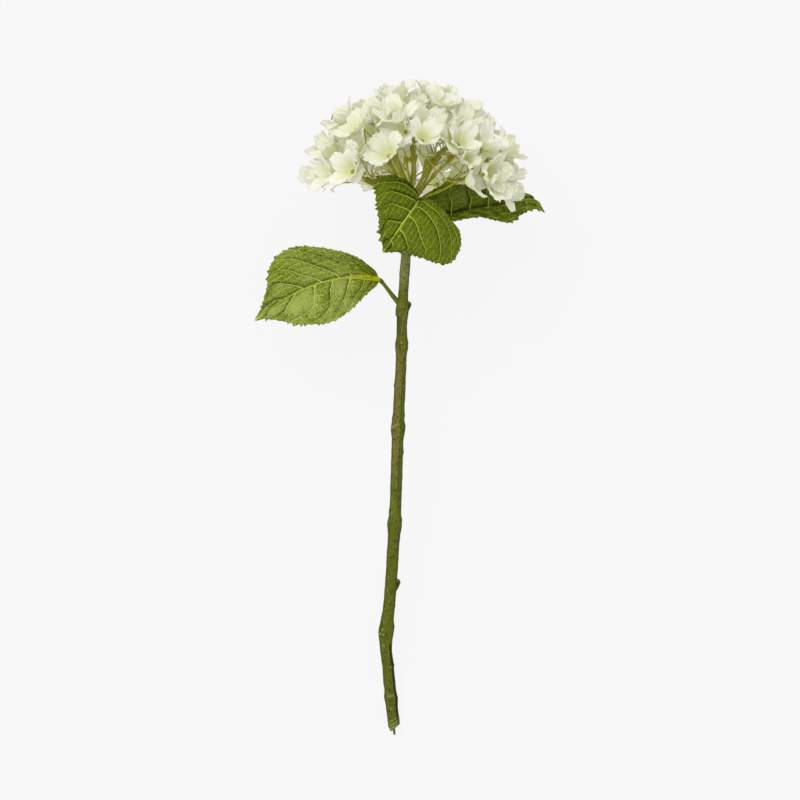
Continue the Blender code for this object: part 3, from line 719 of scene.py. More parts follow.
def bark_marks(down, turns, drift, collar):
    """Added radius, pale scars and dark rings of the nodes, the leaf scars and the small ledges."""
    rise, scar, ring = (np.zeros_like(down) for _ in range(3))
    for knot in STEM_NODES:
        tilt = 0.0014 * np.cos(turns - math.radians(knot.scar))
        tilt = tilt + 0.0006 * np.sin(3 * turns + 90.0 * knot.down)
        off = down - knot.down - tilt
        uneven = 0.7 + 0.3 * np.sin(2 * turns + 40.0 * knot.down)
        rise += collar * stepped_edge(off, *NODE_RIDGE) * uneven
        ring = np.maximum(ring, 0.45 * band(off, *NODE_RING) * (0.5 + 0.5 * np.sin(5 * turns + drift)))
    for mark in STEM_SCARS:
        turned = turned_from(turns, math.radians(mark.turn))
        off = down - mark.down - mark.slope * turned
        worn = hump(off, SCAR_WIDTH) * smooth_step(mark.spread * 1.25, mark.spread * 0.75, np.abs(turned))
        rise += SCAR_RISE * worn
        scar = np.maximum(scar, mark.strength * worn)
        around = smooth_step(mark.spread * 1.3, 0.0, np.abs(turned))
        ring = np.maximum(ring, 0.7 * band(off, *SCAR_RING) * around)
    for ledge in STEM_LEDGES:
        off = down - ledge.down
        around = smooth_step(1.0, 0.35, np.abs(turned_from(turns, math.radians(ledge.turn))))
        rise += ledge.height * stepped_edge(off, *LEDGE_RIDGE) * around
        ring = np.maximum(ring, 0.8 * band(off, *LEDGE_RING) * around)
    return rise, scar, ring


def spanned(span, down):
    """1 between a start and an end, and 0 above and below them."""
    start, end = span
    return smooth_step(*start, down) * smooth_step(*end, down)


def bark_zones(down, turns, drift):
    """How open the cleft is, the angle from it, and the bark's brown, green, painted shade and pale parts."""
    side = turned_from(turns, CLEFT_TURN + 0.05 * drift)
    cleft = spanned(CLEFT_SPAN, down)
    brown = cleft * smooth_step(0.05, 0.25, side) * smooth_step(*BROWN_END, down)
    green = np.maximum(cleft * smooth_step(0.0, -0.12, side), 0.8 * smooth_step(*GREEN_START, down))
    # painted shadow: the side of the stem low down that faces away from the light
    hollow = np.abs(turned_from(turns, SHADOW_STRIP_TURN) + 0.05 * drift)
    painted_shade = smooth_step(*SHADOW_STRIP_START, down) * smooth_step(0.43, 0.30, hollow)
    # painted shade below the lower leaf's petiole
    shade_patch = 0.45 * spanned(SHADE_PATCH_SPAN, down) * smooth_step(1.2, 0.6, np.abs(turned_from(turns, SHADE_PATCH_TURN)))
    return cleft, side, brown, green, painted_shade, shade_patch, spanned(PALE_SPAN, down)


def stem_grid(line, turns, radius, left):
    """The bark's rings, from its rounded crown to the face of its cut; left is the length left to the cut."""
    ways = unit(np.gradient(line, axis=0))
    across = np.stack([-ways[:, 1], ways[:, 0], ways[:, 2]], axis=1)
    lead = line[0] - ways[0] * CROWN_RADIUS * CROWN_RINGS[:, None] * 0.97
    lead_radius = CROWN_RADIUS * np.sqrt(1 - (CROWN_RINGS * 0.985) ** 2)
    centres = np.vstack([lead, line])
    across = np.vstack([np.repeat(across[:1], len(lead), axis=0), across])
    radii = np.vstack([np.repeat(lead_radius[:, None], STEM_SIDES, axis=1), radius])
    cosines, sines = np.cos(turns)[None, :, None], np.sin(turns)[None, :, None]
    spread = cosines * across[:, None] + sines * np.array((0, 0, 1.0))
    grid = centres[:, None] + radii[:, :, None] * spread
    beside = grid[len(lead) :, :, 0] - centres[len(lead) :, None, 0]
    slant = CUT_SLOPE * beside + CUT_POINT * np.maximum(-0.0022 - beside, 0.0)
    grid[len(lead) :, :, 1] += smooth_step(0.016, 0.0, left) * slant
    middle = grid[-1].mean(axis=0)
    inner = [middle + (grid[-1] - middle) * part + ways[-1] * rise for part, rise in CUT_RINGS]
    return np.concatenate([grid, np.array(inner)])


def stem_mesh(settings):
    """Points, faces and maps of the bark: rounded crown, grooves, ringed and scarred nodes, slanting cut."""
    line = evenly_along(STEM_LINE, STEM_ROWS)
    round_turns = np.linspace(0, 2 * math.pi, STEM_SIDES, endpoint=False)
    down, turns = np.meshgrid(-line[:, 1], round_turns, indexing="ij")
    drift = 1.3 * np.sin(down * 31.0) + 0.7 * np.sin(down * 83.0 + 1.0)
    depth = settings.groove * smooth_step(0.018, 0.05, down)
    radius = stem_radius(down) + depth * bark_relief(down, turns, drift)
    rise, scar, ring = bark_marks(down, turns, drift, settings.collar)
    cleft, side, brown, green, painted_shade, shade_patch, pale = bark_zones(down, turns, drift)
    radius += rise - CLEFT_DEPTH * cleft * hump(side, 0.07) - SHADOW_STRIP_DEPTH * painted_shade
    ring = np.maximum(ring, 0.95 * cleft * hump(side, 0.075))
    left = down[-1, 0] - down
    for height, strength in CUT_STEPS:
        nick = hump(left - height, 0.0005) * smooth_step(-0.3, 0.5, np.sin(turns + 0.4))
        scar = np.maximum(scar, strength * nick)
        radius += CUT_STEP_RISE * nick

    grid = stem_grid(line, round_turns, radius, left)
    rows = len(grid)
    faces = [tuple(reversed(face)) for face in grid_faces(rows, STEM_SIDES, True)]
    faces.append(tuple(range(STEM_SIDES)))
    faces.append(tuple((rows - 1) * STEM_SIDES + k for k in reversed(range(STEM_SIDES))))
    cut = np.zeros((rows, STEM_SIDES))
    cut[-len(CUT_RINGS) :] = 1.0
    pad = ((len(CROWN_RINGS), len(CUT_RINGS)), (0, 0))
    # the zone map's third part is painted shade: the shadow strip low down and the patch below the lower leaf
    down, scar, *zones = (
        np.pad(part, pad, mode="edge") for part in (down, scar, brown, green, np.maximum(0.92 * painted_shade, shade_patch))
    )
    maps = {
        "stem_map": np.stack([np.tile(round_turns, (rows, 1)), down, scar], axis=-1).reshape(-1, 3),
        "stem_zone": np.stack(zones, axis=-1).reshape(-1, 3),
        "stem_ring": np.pad(ring, pad).ravel(),
        "stem_pale": np.pad(pale, pad).ravel(),
        "stem_cut": cut.ravel(),
    }
    return grid.reshape(-1, 3), faces, maps


BUD_ROWS, BUD_SIDES = 18, 24
BUD_SUNK = (0.55, 0.45)  # how deep its foot stands in the stem, and below its node
BUD_LEAN = ((0.0, 0.35, 0.75, 1.0), (0.0, 0.14, 0.25, 0.20))
BUD_WIDTH = ((0.0, 0.25, 0.5, 0.74, 0.90, 1.0), (0.12, 0.19, 0.245, 0.26, 0.19, 0.03))


def bud_mesh(bud):
    """A pointed bud of two scales that sits against the stem."""
    line = evenly_along(STEM_LINE, STEM_ROWS)
    centre = line[np.argmin(np.abs(-line[:, 1] - bud.down))]
    side = math.radians(bud.side)
    out = np.array((math.cos(side), 0.0, math.sin(side)))
    foot = centre + out * stem_radius(bud.down) * BUD_SUNK[0] - np.array((0, bud.length * BUD_SUNK[1], 0))
    rise = np.linspace(0, 1, BUD_ROWS)[:, None]
    path = foot + rise * np.array((0, bud.length, 0)) + (out * bud.length) * np.interp(rise, *BUD_LEAN)
    turns = np.linspace(0, 2 * math.pi, BUD_SIDES, endpoint=False)
    seam = 1.0 - 0.10 * hump(np.abs(np.sin(turns)), 0.22)
    scale_edge = 1.0 - 0.10 * hump(rise - 0.42 - 0.10 * np.cos(2 * turns)[None], 0.05)
    return swept(path, bud.length * np.interp(rise, *BUD_WIDTH) * seam[None] * scale_edge, BUD_SIDES)


BARK_TAN = (0.105, 0.085, 0.028)
BARK_PALE = (0.25, 0.26, 0.09)
BARK_BROWN = (0.150, 0.126, 0.036)
BARK_PORE = (0.030, 0.031, 0.005)
BARK_FLECK = (0.26, 0.26, 0.08)
BARK_SPECK = (0.006, 0.006, 0.003)
PAINTED_SHADOW = (0.008, 0.009, 0.003)
CUT_FACE = (0.17, 0.17, 0.05)


def bark_finish(settings):
    """Moulded bark: streaks, mottling, pores, flecks and specks, and what the stem's own maps hold."""
    made, tree = finish("moulded_bark")
    turn, down, scar = vector_map(tree, "stem_map")
    brown, green, painted_shade = vector_map(tree, "stem_zone")
    spot = node(tree, "TexCoord").outputs["Object"]
    cosine = reckon(tree, "COSINE", turn)
    x, y = times(tree, cosine, 0.004), times(tree, reckon(tree, "SINE", turn), 0.004)
    streaks = grain(tree, 900.0, 3.0, place(tree, x, y, times(tree, down, 0.12)))
    mottle = grain(tree, 420.0, 4.0, spot, 0.6)
    broad = grain(tree, 38.0, 2.0, spot)
    fine = node(tree, "TexVoronoi", {"Scale": 600.0, "Vector": spot, "Randomness": 1.0}).outputs
    kind = parts_of(tree, fine["Color"])[1]
    pore = times(tree, stepped(tree, fine["Distance"], 0.52, 0.24), stepped(tree, kind, 0.50, 0.60))
    fleck = times(tree, stepped(tree, fine["Distance"], 0.45, 0.20), stepped(tree, kind, 0.16, 0.10))
    dots = node(tree, "TexVoronoi", {"Scale": 300.0, "Vector": spot, "Randomness": 1.0}).outputs
    few = stepped(tree, parts_of(tree, dots["Color"])[0], 0.62, 0.64)
    speck = times(tree, stepped(tree, dots["Distance"], 0.24, 0.16), few)
    # painted shade: the stem darker towards the two sides the camera sees as its edges
    side_shade = stepped(tree, reckon(tree, "ABSOLUTE", cosine), 0.66, 0.98, 0.0, 0.55)
    tone = coats(
        tree,
        settings.bark_deep,
        (stepped(tree, streaks, 0.28, 0.66, 0.30, 1.0), settings.bark),
        (stepped(tree, mottle, 0.45, 0.75, 0.0, 0.45), scaled(settings.bark, 1.5)),
        (stepped(tree, broad, 0.35, 0.70, 0.0, 0.25), BARK_TAN),
        (times(tree, value_map(tree, "stem_pale"), 0.6), BARK_PALE),
        (times(tree, brown, stepped(tree, mottle, 0.35, 0.62, 0.25, 0.85)), BARK_BROWN),
        (times(tree, green, stepped(tree, streaks, 0.30, 0.62, 0.60, 0.92)), settings.bark_green),
        (times(tree, pore, 0.80), BARK_PORE),
        (times(tree, fleck, 0.55), BARK_FLECK),
        # painted shade at the stem's sides
        (side_shade, scaled(settings.bark_deep, 0.75)),
        (times(tree, speck, 0.95), BARK_SPECK),
        (times(tree, value_map(tree, "stem_ring"), 0.75), scaled(settings.bark_deep, 0.5)),
        # painted shade: the stem's shadowed side low down, the patch below the lower leaf's petiole, the
        # buds' slots
        (painted_shade, PAINTED_SHADOW),
        (times(tree, scar, stepped(tree, mottle, 0.30, 0.55, 0.45, 1.0)), settings.scar),
        (times(tree, value_map(tree, "stem_cut"), 0.7), CUT_FACE),
    )
    height = plus(tree, times(tree, streaks, 0.7), times(tree, mottle, 0.6))
    height = plus(tree, height, times(tree, speck, -0.4))
    roughness = stepped(tree, mottle, 0.3, 0.7, 0.50, 0.68)
    return finished(made, coated(tree, tone, roughness, 0.06, bumped(tree, height, 0.7, 0.0004)))


class HYDRANGEA_OT_stem(bpy.types.Operator):
    """Makes the stem with its nodes, buds and slanting cut"""

    bl_idname = "hydrangea.stem"
    bl_label = "Make the stem"

    def execute(self, context):
        settings = context.scene.hydrangea_stem
        bark = bark_finish(settings)
        points, faces, maps = stem_mesh(settings)
        piece("stem_bark", points, faces, [bark], "stem", maps)
        for number, bud in enumerate(BUDS):
            points, faces = bud_mesh(bud)
            turn = np.arctan2(points[:, 2], points[:, 0])
            rise = (points[:, 1] - points[:, 1].min()) / np.ptp(points[:, 1])
            # painted shade: a dark slot on each bud's right side, away from the light
            slot_shade = hump(rise - 0.62, 0.16) * hump(points[:, 0] - points[:, 0].max() + 0.0022, 0.0007)
            plain = np.zeros(len(points))
            maps = {
                "stem_map": np.stack([turn, -points[:, 1], 0.30 * hump(rise - 0.90, 0.08)], axis=-1),
                "stem_zone": np.stack([plain, plain + 0.5, 0.9 * slot_shade], axis=-1),
            }
            piece(f"stem_bud_{number + 1}", points, faces, [bark], "stem", maps)
        return {"FINISHED"}


WIRE_SIDES = 20
WIRE_STEPS = np.array([0.0, 0.5, 0.9, 0.96, 1.0])
WIRE_TAPER = np.array([1.0, 1.0, 1.0, 0.9, 0.45])


class HYDRANGEA_OT_wire(bpy.types.Operator):
    """Makes the wire core, which shows at the cut end"""

    bl_idname = "hydrangea.wire"
    bl_label = "Make the wire"

    def execute(self, context):
        settings = context.scene.hydrangea_stem
        end, above = np.array(STEM_LINE[-1]), np.array(STEM_LINE[-2])
        line = end + unit(end - above) * (-WIRE_INSIDE + WIRE_STEPS[:, None] * (WIRE_INSIDE + WIRE_OUTSIDE))
        points, faces = swept(line, WIRE_RADIUS * WIRE_TAPER, WIRE_SIDES)
        made, tree = finish("cut_wire")
        scratches = grain(tree, 2600.0, 3.0)
        tone = blended(tree, scratches, settings.wire, scaled(settings.wire, 1.7))
        roughness = stepped(tree, scratches, 0.3, 0.7, 0.32, 0.5)
        bump = bumped(tree, scratches, 0.3, 0.0001)
        finished(made, coated(tree, tone, roughness, 0.5, bump, metallic=0.85))
        piece("stem_wire_core", points, faces, [made], "stem_wire")
        return {"FINISHED"}


# ---------------------------------------------------------------- leaves

SIDE_VEINS = 7  # the side veins leave the midrib at 1/7, 2/7 ... of its length
VEIN_BEND = 1.6
VEIN_WANDER = (0.13, 0.12)  # along the side veins, and from vein to vein
RIGHT_LAG = 0.38  # how much further up the veins of the right half stand, in gaps
TOOTH_STEP = 0.0043  # from tooth to tooth along the margin
TOOTH_BACK = 0.74  # the long side of a tooth, as a share of the step
TOOTH_SIZES = (0.40, 1.05)  # least size, and how much more it may be
TOOTH_REACH = 0.11  # how far in from the margin a tooth pulls the blade
LEAF_ROWS = 161
LEAF_COLUMNS = 73
TIP_PINCH = 0.24
MARGIN_WAVES = 0.0012
MIDRIB_SUNK, MIDRIB_GROOVE = 0.0008, 0.0016  # depth and half width
CRINKLE, CRINKLE_SCALE = 0.00040, 260.0
FOLD_SHADE_PAINT = (0.0008, 0.0013)  # painted shade beside a fold, on its side away from the light: distance from it, and half width
RIB_SHADE_PAINT = (0.0013, 0.0009)  # and painted shade beside the midrib
SHADE_SIDE_WAY = unit(np.array((0.8, -0.6, 0.0)))  # the painted shade lies on this side of each fold and of the midrib, the side away from the main light


def leaf_rows(leaf, starts):
    """Midrib, left and right margin, upper face's direction and way to the tip, at shares of the length."""
    base, tip = leaf.midrib[0], leaf.midrib[-1]
    guides = (leaf.midrib, (base, *leaf.left, tip), (base, *leaf.right, tip))
    centre, left, right = (on_curve(guide, starts) for guide in guides)
    ahead = on_curve(leaf.midrib, np.minimum(starts + 0.02, 1.0))
    ahead = ahead - on_curve(leaf.midrib, np.maximum(starts - 0.02, 0.0))
    inside = np.clip(starts, 0.02, 0.98)
    wide = on_curve(guides[1], inside) - on_curve(guides[2], inside)
    return centre, left, right, unit(np.cross(ahead, wide)), unit(ahead)


def vein_numbers(leaf, starts, out, left_half, phases):
    """A number at each point that grows by one from each side vein to the next, and is whole on the veins."""
    sweep = np.where(left_half, *leaf.sweep) * (1.15 - 0.65 * starts)
    wander = VEIN_WANDER[0] * np.sin(2.2 * math.pi * out + np.where(left_half, phases[0], phases[1]))
    wander = wander + VEIN_WANDER[1] * np.sin(starts * 17.0 + np.where(left_half, phases[2], phases[3]))
    offset = np.where(left_half, 0.0, RIGHT_LAG) * smooth_step(0.1, 0.4, starts)
    return starts * SIDE_VEINS + offset - sweep * out**VEIN_BEND + wander * np.sin(math.pi * out)


def quilting(grid, starts, out, wide, part, waving, height):
    """How far the blade rises between side veins, waves at its margin and sinks at its midrib."""
    fold = np.sin(math.pi * part) ** 0.6 * (0.35 + 1.3 * part**1.5)
    ends = smooth_step(0.0, 0.14, starts) * smooth_step(1.0, 0.84, starts)
    fade = smooth_step(0.0, 0.20, out) * (1.0 - 0.70 * smooth_step(0.65, 1.0, out))
    waves = MARGIN_WAVES * smooth_step(0.55, 1.0, out) * np.sin(starts * 23.0 + waving)
    sunk = MIDRIB_SUNK * hump(out * wide, MIDRIB_GROOVE)
    crinkle = np.array([[smooth_noise(point) for point in row] for row in (grid * CRINKLE_SCALE).tolist()])
    return ends * (height * fade * fold + waves - sunk + CRINKLE * crinkle)


def teeth(margin, shift, draw):
    """Height of the saw teeth along a margin, each with a size of its own."""
    steps = np.linalg.norm(np.diff(margin, axis=0), axis=1)
    phase = np.concatenate([[0.0], np.cumsum(steps)]) / TOOTH_STEP
    phase = phase + 0.22 * np.sin(phase * 1.9 + shift)
    step = phase - np.floor(phase)
    saw = np.where(step < TOOTH_BACK, step / TOOTH_BACK, (1 - step) / (1 - TOOTH_BACK)) ** 1.2
    least, more = TOOTH_SIZES
    sizes = np.array([least + more * draw.random() for _ in range(int(phase.max()) + 2)])
    return saw * sizes[np.floor(phase).astype(int)] - 0.5


def painted_fold_shade(grid, veins, part, starts, out, beside_rib, chord, phase):
    """Painted shade beside each fold and the midrib, and the distance between two side veins."""
    down, over = np.gradient(grid, axis=0), np.gradient(grid, axis=1)
    pairs = ((down, down), (down, over), (over, over))
    dd, do, oo = (np.sum(first * second, axis=-1) for first, second in pairs)
    vein_down, vein_over = np.gradient(veins, axis=0), np.gradient(veins, axis=1)
    area = np.maximum(dd * oo - do * do, 1e-16)
    steep = (oo * vein_down - do * vein_over)[..., None] * down
    steep = steep + (dd * vein_over - do * vein_down)[..., None] * over
    steep = steep / area[..., None]
    pitch = 1.0 / np.maximum(np.linalg.norm(steep, axis=-1), 20.0)
    before = steep @ SHADE_SIDE_WAY > 0
    past = np.where(before, 1.0 - part, part) * pitch
    crease = band(past, *FOLD_SHADE_PAINT) * smooth_step(0.02, 0.10, out)
    crease = crease * (1.0 - 0.75 * smooth_step(0.45, 0.95, out))
    each = 0.35 + 0.65 * np.abs(np.sin(np.round(np.where(before, veins + 0.5, veins - 0.5)) * 2.1 + phase))
    crease = crease * each * (past < 0.45 * pitch)
    # painted shadow beside the midrib, on its side away from the light
    shaded = smooth_step(-0.2, 0.2, -(unit(chord) @ SHADE_SIDE_WAY))
    groove = band(beside_rib, *RIB_SHADE_PAINT) * shaded * smooth_step(0.05, 0.2, starts)
    return np.maximum(crease, 0.8 * groove * smooth_step(0.95, 0.6, starts)), pitch


def leaf_mesh(leaf, settings, draw):
    """Points, faces and maps of a blade: quilted between its side veins and toothed round its margin."""
    starts = np.linspace(0, 1, LEAF_ROWS)
    centre, left, right, face, ahead = leaf_rows(leaf, starts)
    sides = np.linspace(-1, 1, LEAF_COLUMNS)[None, :]
    out = np.abs(sides)
    left_half = sides > 0
    margin = np.where(left_half[..., None], left[:, None], right[:, None])
    pinch = 1.0 - TIP_PINCH * hump(starts - 0.945, 0.045)
    chord = (margin - centre[:, None]) * pinch[:, None, None]
    wide = np.linalg.norm(chord, axis=-1)
    grid = centre[:, None] + chord * out[..., None]
    grid = grid + face[:, None] * (LEAF_BULGE * wide * np.sin(math.pi * out))[..., None]
    length = np.linalg.norm(np.diff(centre, axis=0), axis=1).sum()
    starts = starts[:, None]

    phases = [draw.uniform(0, 2 * math.pi) for _ in range(8)]
    veins = vein_numbers(leaf, starts, out, left_half, phases)
    part = veins - np.floor(veins)
    waving = np.where(left_half, phases[4], phases[5])
    rise = quilting(grid, starts, out, wide, part, waving, settings.quilting)
    grid = grid + face[:, None] * rise[..., None]

    left_teeth, right_teeth = (teeth(line, phases[7], draw)[:, None] for line in (left, right))
    bite = np.where(left_half, left_teeth, right_teeth)
    bite = bite * smooth_step(0.08, 0.30, starts) * smooth_step(0.985, 0.93, starts)
    reach = smooth_step(1.0 - TOOTH_REACH, 1.0, out)
    outward = unit(chord) * 0.9 + ahead[:, None] * 0.5
    grid = grid + outward * (bite * leaf.tooth * settings.tooth * reach)[..., None]

    crease, pitch = painted_fold_shade(grid, veins, part, starts, out, out * wide, chord, phases[6])
    maps = {
        "leaf_flat": (sides * wide, starts * length, draw.uniform(0, 9)),
        "leaf_vein": (veins + 8.0, pitch, out),
        "leaf_print": (leaf.bleach, leaf.rib_shine, starts),
    }
    maps = {
        label: np.stack([np.broadcast_to(value, wide.shape) for value in values], axis=-1).reshape(-1, 3)
        for label, values in maps.items()
    }
    maps["leaf_fold_shade"] = crease.ravel()
    faces = [tuple(reversed(face)) for face in grid_faces(LEAF_ROWS, LEAF_COLUMNS)]
    return lifted(grid, settings.fabric).reshape(-1, 3), faces, maps


RIB_SIDES = 18
RIB_ROOT = 0.72  # radius of the midrib at the blade's base, as a share of the petiole's
RIB_TIP_RADIUS = 0.00030
PETIOLE_TAPER = 0.45
JOINT_RISE = 0.00035  # the ring where the petiole meets the blade


def leaf_rib_mesh(leaf):
    """Petiole and midrib: one tapering stalk, under the blade to near its tip."""
    root, base = np.array([leaf.root, leaf.midrib[0]])
    starts = np.linspace(0.0, 0.97, 70)
    centre, _, _, face, _ = leaf_rows(leaf, starts)
    radius = leaf.petiole_radius * RIB_ROOT * (1 - starts) ** 0.8 + RIB_TIP_RADIUS
    rib = centre - face * (radius * 0.95)[:, None]
    petiole = evenly_along(np.array([root, root * 0.55 + base * 0.45, rib[0], rib[6]]), 60)
    petiole = petiole[: int(np.argmin(np.linalg.norm(petiole - rib[0], axis=1)))]
    along = np.linspace(0, 1, len(petiole))
    swell = leaf.petiole_radius * (1.0 + PETIOLE_SWELL * np.sin(math.pi * along**0.8))
    swell = swell * (1.0 - PETIOLE_TAPER * along**0.7) * (1 - along**3) + radius[0] * along**3
    swell = swell + JOINT_RISE * hump(along - 0.94, 0.035)
    points, faces = swept(np.vstack([petiole, rib]), np.concatenate([swell, radius]), RIB_SIDES)
    along = np.repeat(np.concatenate([along, 1.0 + starts]), RIB_SIDES)
    return lifted(points, 0.0001), faces, {"rib_along": along}


SIDE_VEIN_WIDTHS = (0.00054, 0.00032)  # half widths near the midrib and near the margin
BROAD_BASE = 0.0011  # what the side veins gain near the leaf's base
RIB_WIDTHS = (0.00052, 0.0022)  # the midrib's half width, and what it gains near the base
RUNG_STEP = 0.0036  # between two ladder veins
RUNG_EDGES = (0.00036, 0.00012)  # distances from a ladder vein's middle at which it begins and is full
BLADE_FLECK = (0.17, 0.23, 0.006)
WORN_VEIN = (0.68, 0.73, 0.19)
YELLOW_VEIN = (0.64, 0.62, 0.016)
UNDER_VEIN = (0.36, 0.42, 0.15)
LEAF_PASSED = (0.20, 0.30, 0.005)  # colour of the light that passes through a leaf
PETIOLE_GREEN = (0.105, 0.135, 0.012)
JOINT_SHADE = (0.03, 0.035, 0.01)


def leaf_nodes(tree, settings, upper):
    """Colour and height of a blade: midrib, side veins, ladder veins and a fine net, from its own maps."""
    flat = vector_map(tree, "leaf_flat", whole=True)
    across = parts_of(tree, flat)[0]
    beside = reckon(tree, "ABSOLUTE", across)
    vein, pitch, out = vector_map(tree, "leaf_vein")
    bleach, rib_shine, start = vector_map(tree, "leaf_print")
    base_part = times(tree, rib_shine, stepped(tree, start, 0.08, 0.46, 1.0, 0.0))

    thin = stepped(tree, out, 0.0, 0.8, *SIDE_VEIN_WIDTHS)
    thin = plus(tree, thin, times(tree, base_part, stepped(tree, out, 0.0, 0.30, BROAD_BASE, 0.0)))
    side_gap = times(tree, reckon(tree, "PINGPONG", vein, 0.5), pitch)
    side_vein = stepped(tree, reckon(tree, "DIVIDE", side_gap, thin), 1.3, 0.5)
    side_vein = times(tree, side_vein, stepped(tree, start, 0.94, 0.85))
    rib_wide = plus(tree, times(tree, base_part, RIB_WIDTHS[1]), RIB_WIDTHS[0])
    rib = stepped(tree, reckon(tree, "DIVIDE", beside, rib_wide), 1.25, 0.6)

    wobble = node(tree, "TexNoise", {"Scale": 300.0, "Detail": 2.0, "Vector": flat}).outputs["Color"]
    shifted = blended(tree, 0.0022, flat, wobble, "ADD")
    step = node(tree, "TexWhiteNoise", {"W": reckon(tree, "FLOOR", vein)}, noise_dimensions="1D")
    rung = plus(tree, reckon(tree, "DIVIDE", beside, RUNG_STEP), times(tree, step.outputs["Value"], 0.9))
    rung = plus(tree, rung, times(tree, grain(tree, 150.0, 2.0, flat), 0.9))
    rung = times(tree, reckon(tree, "PINGPONG", rung, 0.5), RUNG_STEP)
    broken = stepped(tree, grain(tree, 330.0, 1.0, flat), 0.34, 0.52)
    rung_vein = times(tree, stepped(tree, rung, *RUNG_EDGES), broken)
    cells = {"Scale": 560.0, "Vector": shifted, "Randomness": 1.0}
    net = node(tree, "TexVoronoi", cells, feature="DISTANCE_TO_EDGE").outputs["Distance"]
    net_vein = stepped(tree, net, 0.10, 0.03)
    broad = grain(tree, 60.0, 3.0)
    mottle = grain(tree, 900.0, 3.0)
    if upper:
        # greyer green towards the tip and on one half: worn print and painted sheen, most on the lower leaf
        worn = times(tree, bleach, stepped(tree, start, 0.10, 0.45, 0.15, 0.90))
        worn = times(tree, worn, stepped(tree, across, -0.018, 0.010, 0.42, 1.0))
        patchy = stepped(tree, plus(tree, mottle, broad), 0.82, 1.14, 0.12, 1.0)
        # painted shade beside the folds and the midrib; the veins fade in it too
        dark = times(tree, value_map(tree, "leaf_fold_shade"), stepped(tree, bleach, 0.0, 1.0, 0.97, 0.80))
        pale = reckon(tree, "SUBTRACT", 1.0, times(tree, dark, 0.8))
        fine = times(tree, net_vein, stepped(tree, mottle, 0.40, 0.60, 0.15, 0.55))
        fine = times(tree, fine, stepped(tree, bleach, 0.0, 1.0, 0.65, 1.4))
        cross = times(tree, rung_vein, stepped(tree, bleach, 0.0, 1.0, 0.50, 0.95))
        pale_vein = coats(tree, settings.vein, (bleach, WORN_VEIN), (base_part, YELLOW_VEIN))
        tone = coats(
            tree,
            settings.blade,
            (stepped(tree, broad, 0.35, 0.68, 0.0, 0.5), scaled(settings.blade, 0.56)),
            (stepped(tree, mottle, 0.45, 0.68, 0.0, 0.22), BLADE_FLECK),
            (times(tree, worn, patchy), settings.wear_and_sheen_green),
            (dark, settings.blade_fold_shade),
            (times(tree, fine, pale), settings.vein),
            (times(tree, cross, pale), settings.vein),
            (times(tree, side_vein, stepped(tree, out, 0.3, 1.0, 0.98, 0.65)), pale_vein),
            (times(tree, rib, 0.95), pale_vein),
        )
    else:
        tone = coats(
            tree,
            settings.under,
            (stepped(tree, broad, 0.3, 0.7, 0.0, 0.5), scaled(settings.under, 0.75)),
            (times(tree, net_vein, 0.25), scaled(settings.under, 1.35)),
            (times(tree, side_vein, 0.6), UNDER_VEIN),
        )
    height = plus(tree, times(tree, net_vein, -0.20), times(tree, rung_vein, -0.35))
    height = plus(tree, height, times(tree, side_vein, -0.9))
    height = plus(tree, height, times(tree, grain(tree, 3200.0, 1.0), 0.25))
    return tone, height, mottle


def leaf_finish(name, settings, upper):
    """Printed cloth; its underside is paler, duller and has the veins' relief the other way up."""
    made, tree = finish(name)
    tone, height, mottle = leaf_nodes(tree, settings, upper)
    roughness = stepped(tree, mottle, 0.3, 0.7, 0.55, 0.70) if upper else 0.75
    front = coated(tree, tone, roughness, 0.05, bumped(tree, height, 0.8, 0.0005 if upper else -0.0005))
    through = node(tree, "BsdfTranslucent", {"Color": blended(tree, 0.5, tone, LEAF_PASSED)}).outputs[0]
    return finished(made, node(tree, "MixShader", {0: 0.12, 1: front, 2: through}).outputs[0])


def rib_finish(settings, stem):
    """Moulded petiole and midrib: olive at the stem, then green, and the veins' colour under the blade."""
    made, tree = finish("leaf_stalk")
    along = value_map(tree, "rib_along")
    mottle = grain(tree, 900.0, 3.0)
    joint = times(tree, stepped(tree, along, 0.86, 0.92), stepped(tree, along, 1.0, 0.95))
    tone = coats(
        tree,
        scaled(stem.bark, 0.75),
        (stepped(tree, along, 0.0, 0.9), PETIOLE_GREEN),
        (stepped(tree, along, 0.9, 1.25), scaled(settings.vein, 0.95)),
        (stepped(tree, mottle, 0.45, 0.75, 0.0, 0.5), scaled(stem.bark, 0.6)),
        (times(tree, joint, 0.35), JOINT_SHADE),
    )
    return finished(made, coated(tree, tone, 0.52, 0.08, bumped(tree, mottle, 0.4, 0.0003)))


class HYDRANGEA_OT_leaves(bpy.types.Operator):
    """Makes the three leaves with their petioles"""

    bl_idname = "hydrangea.leaves"
    bl_label = "Make the leaves"

    def execute(self, context):
        settings = context.scene.hydrangea_leaf
        upper = leaf_finish("printed_leaf", settings, True)
        under = leaf_finish("printed_leaf_underside", settings, False)
        stalk = rib_finish(settings, context.scene.hydrangea_stem)
        for number, leaf in enumerate(LEAVES):
            points, faces, maps = leaf_mesh(leaf, settings, random.Random(SEED + number))
            blade = piece(leaf.name + "_blade", points, faces, [upper, under], leaf.name, maps)
            fabric(blade, settings.fabric, under=1)
            points, faces, maps = leaf_rib_mesh(leaf)
            piece(leaf.name + "_stalk", points, faces, [stalk], leaf.name, maps)
        return {"FINISHED"}


# ---------------------------------------------------------------- bloom

PetalDraw = namedtuple("PetalDraw", "length cup reflex")
Floret = namedtuple("Floret", "number stalk base frame petals")
Stalk = namedtuple("Stalk", "node points")


def direction(polar, azimuth):
    """A unit vector: polar degrees from up the stem, azimuth degrees from +X towards +Z."""
    a, b = math.radians(polar), math.radians(azimuth)
    return Vector((math.sin(a) * math.cos(b), math.cos(a), math.sin(a) * math.sin(b)))


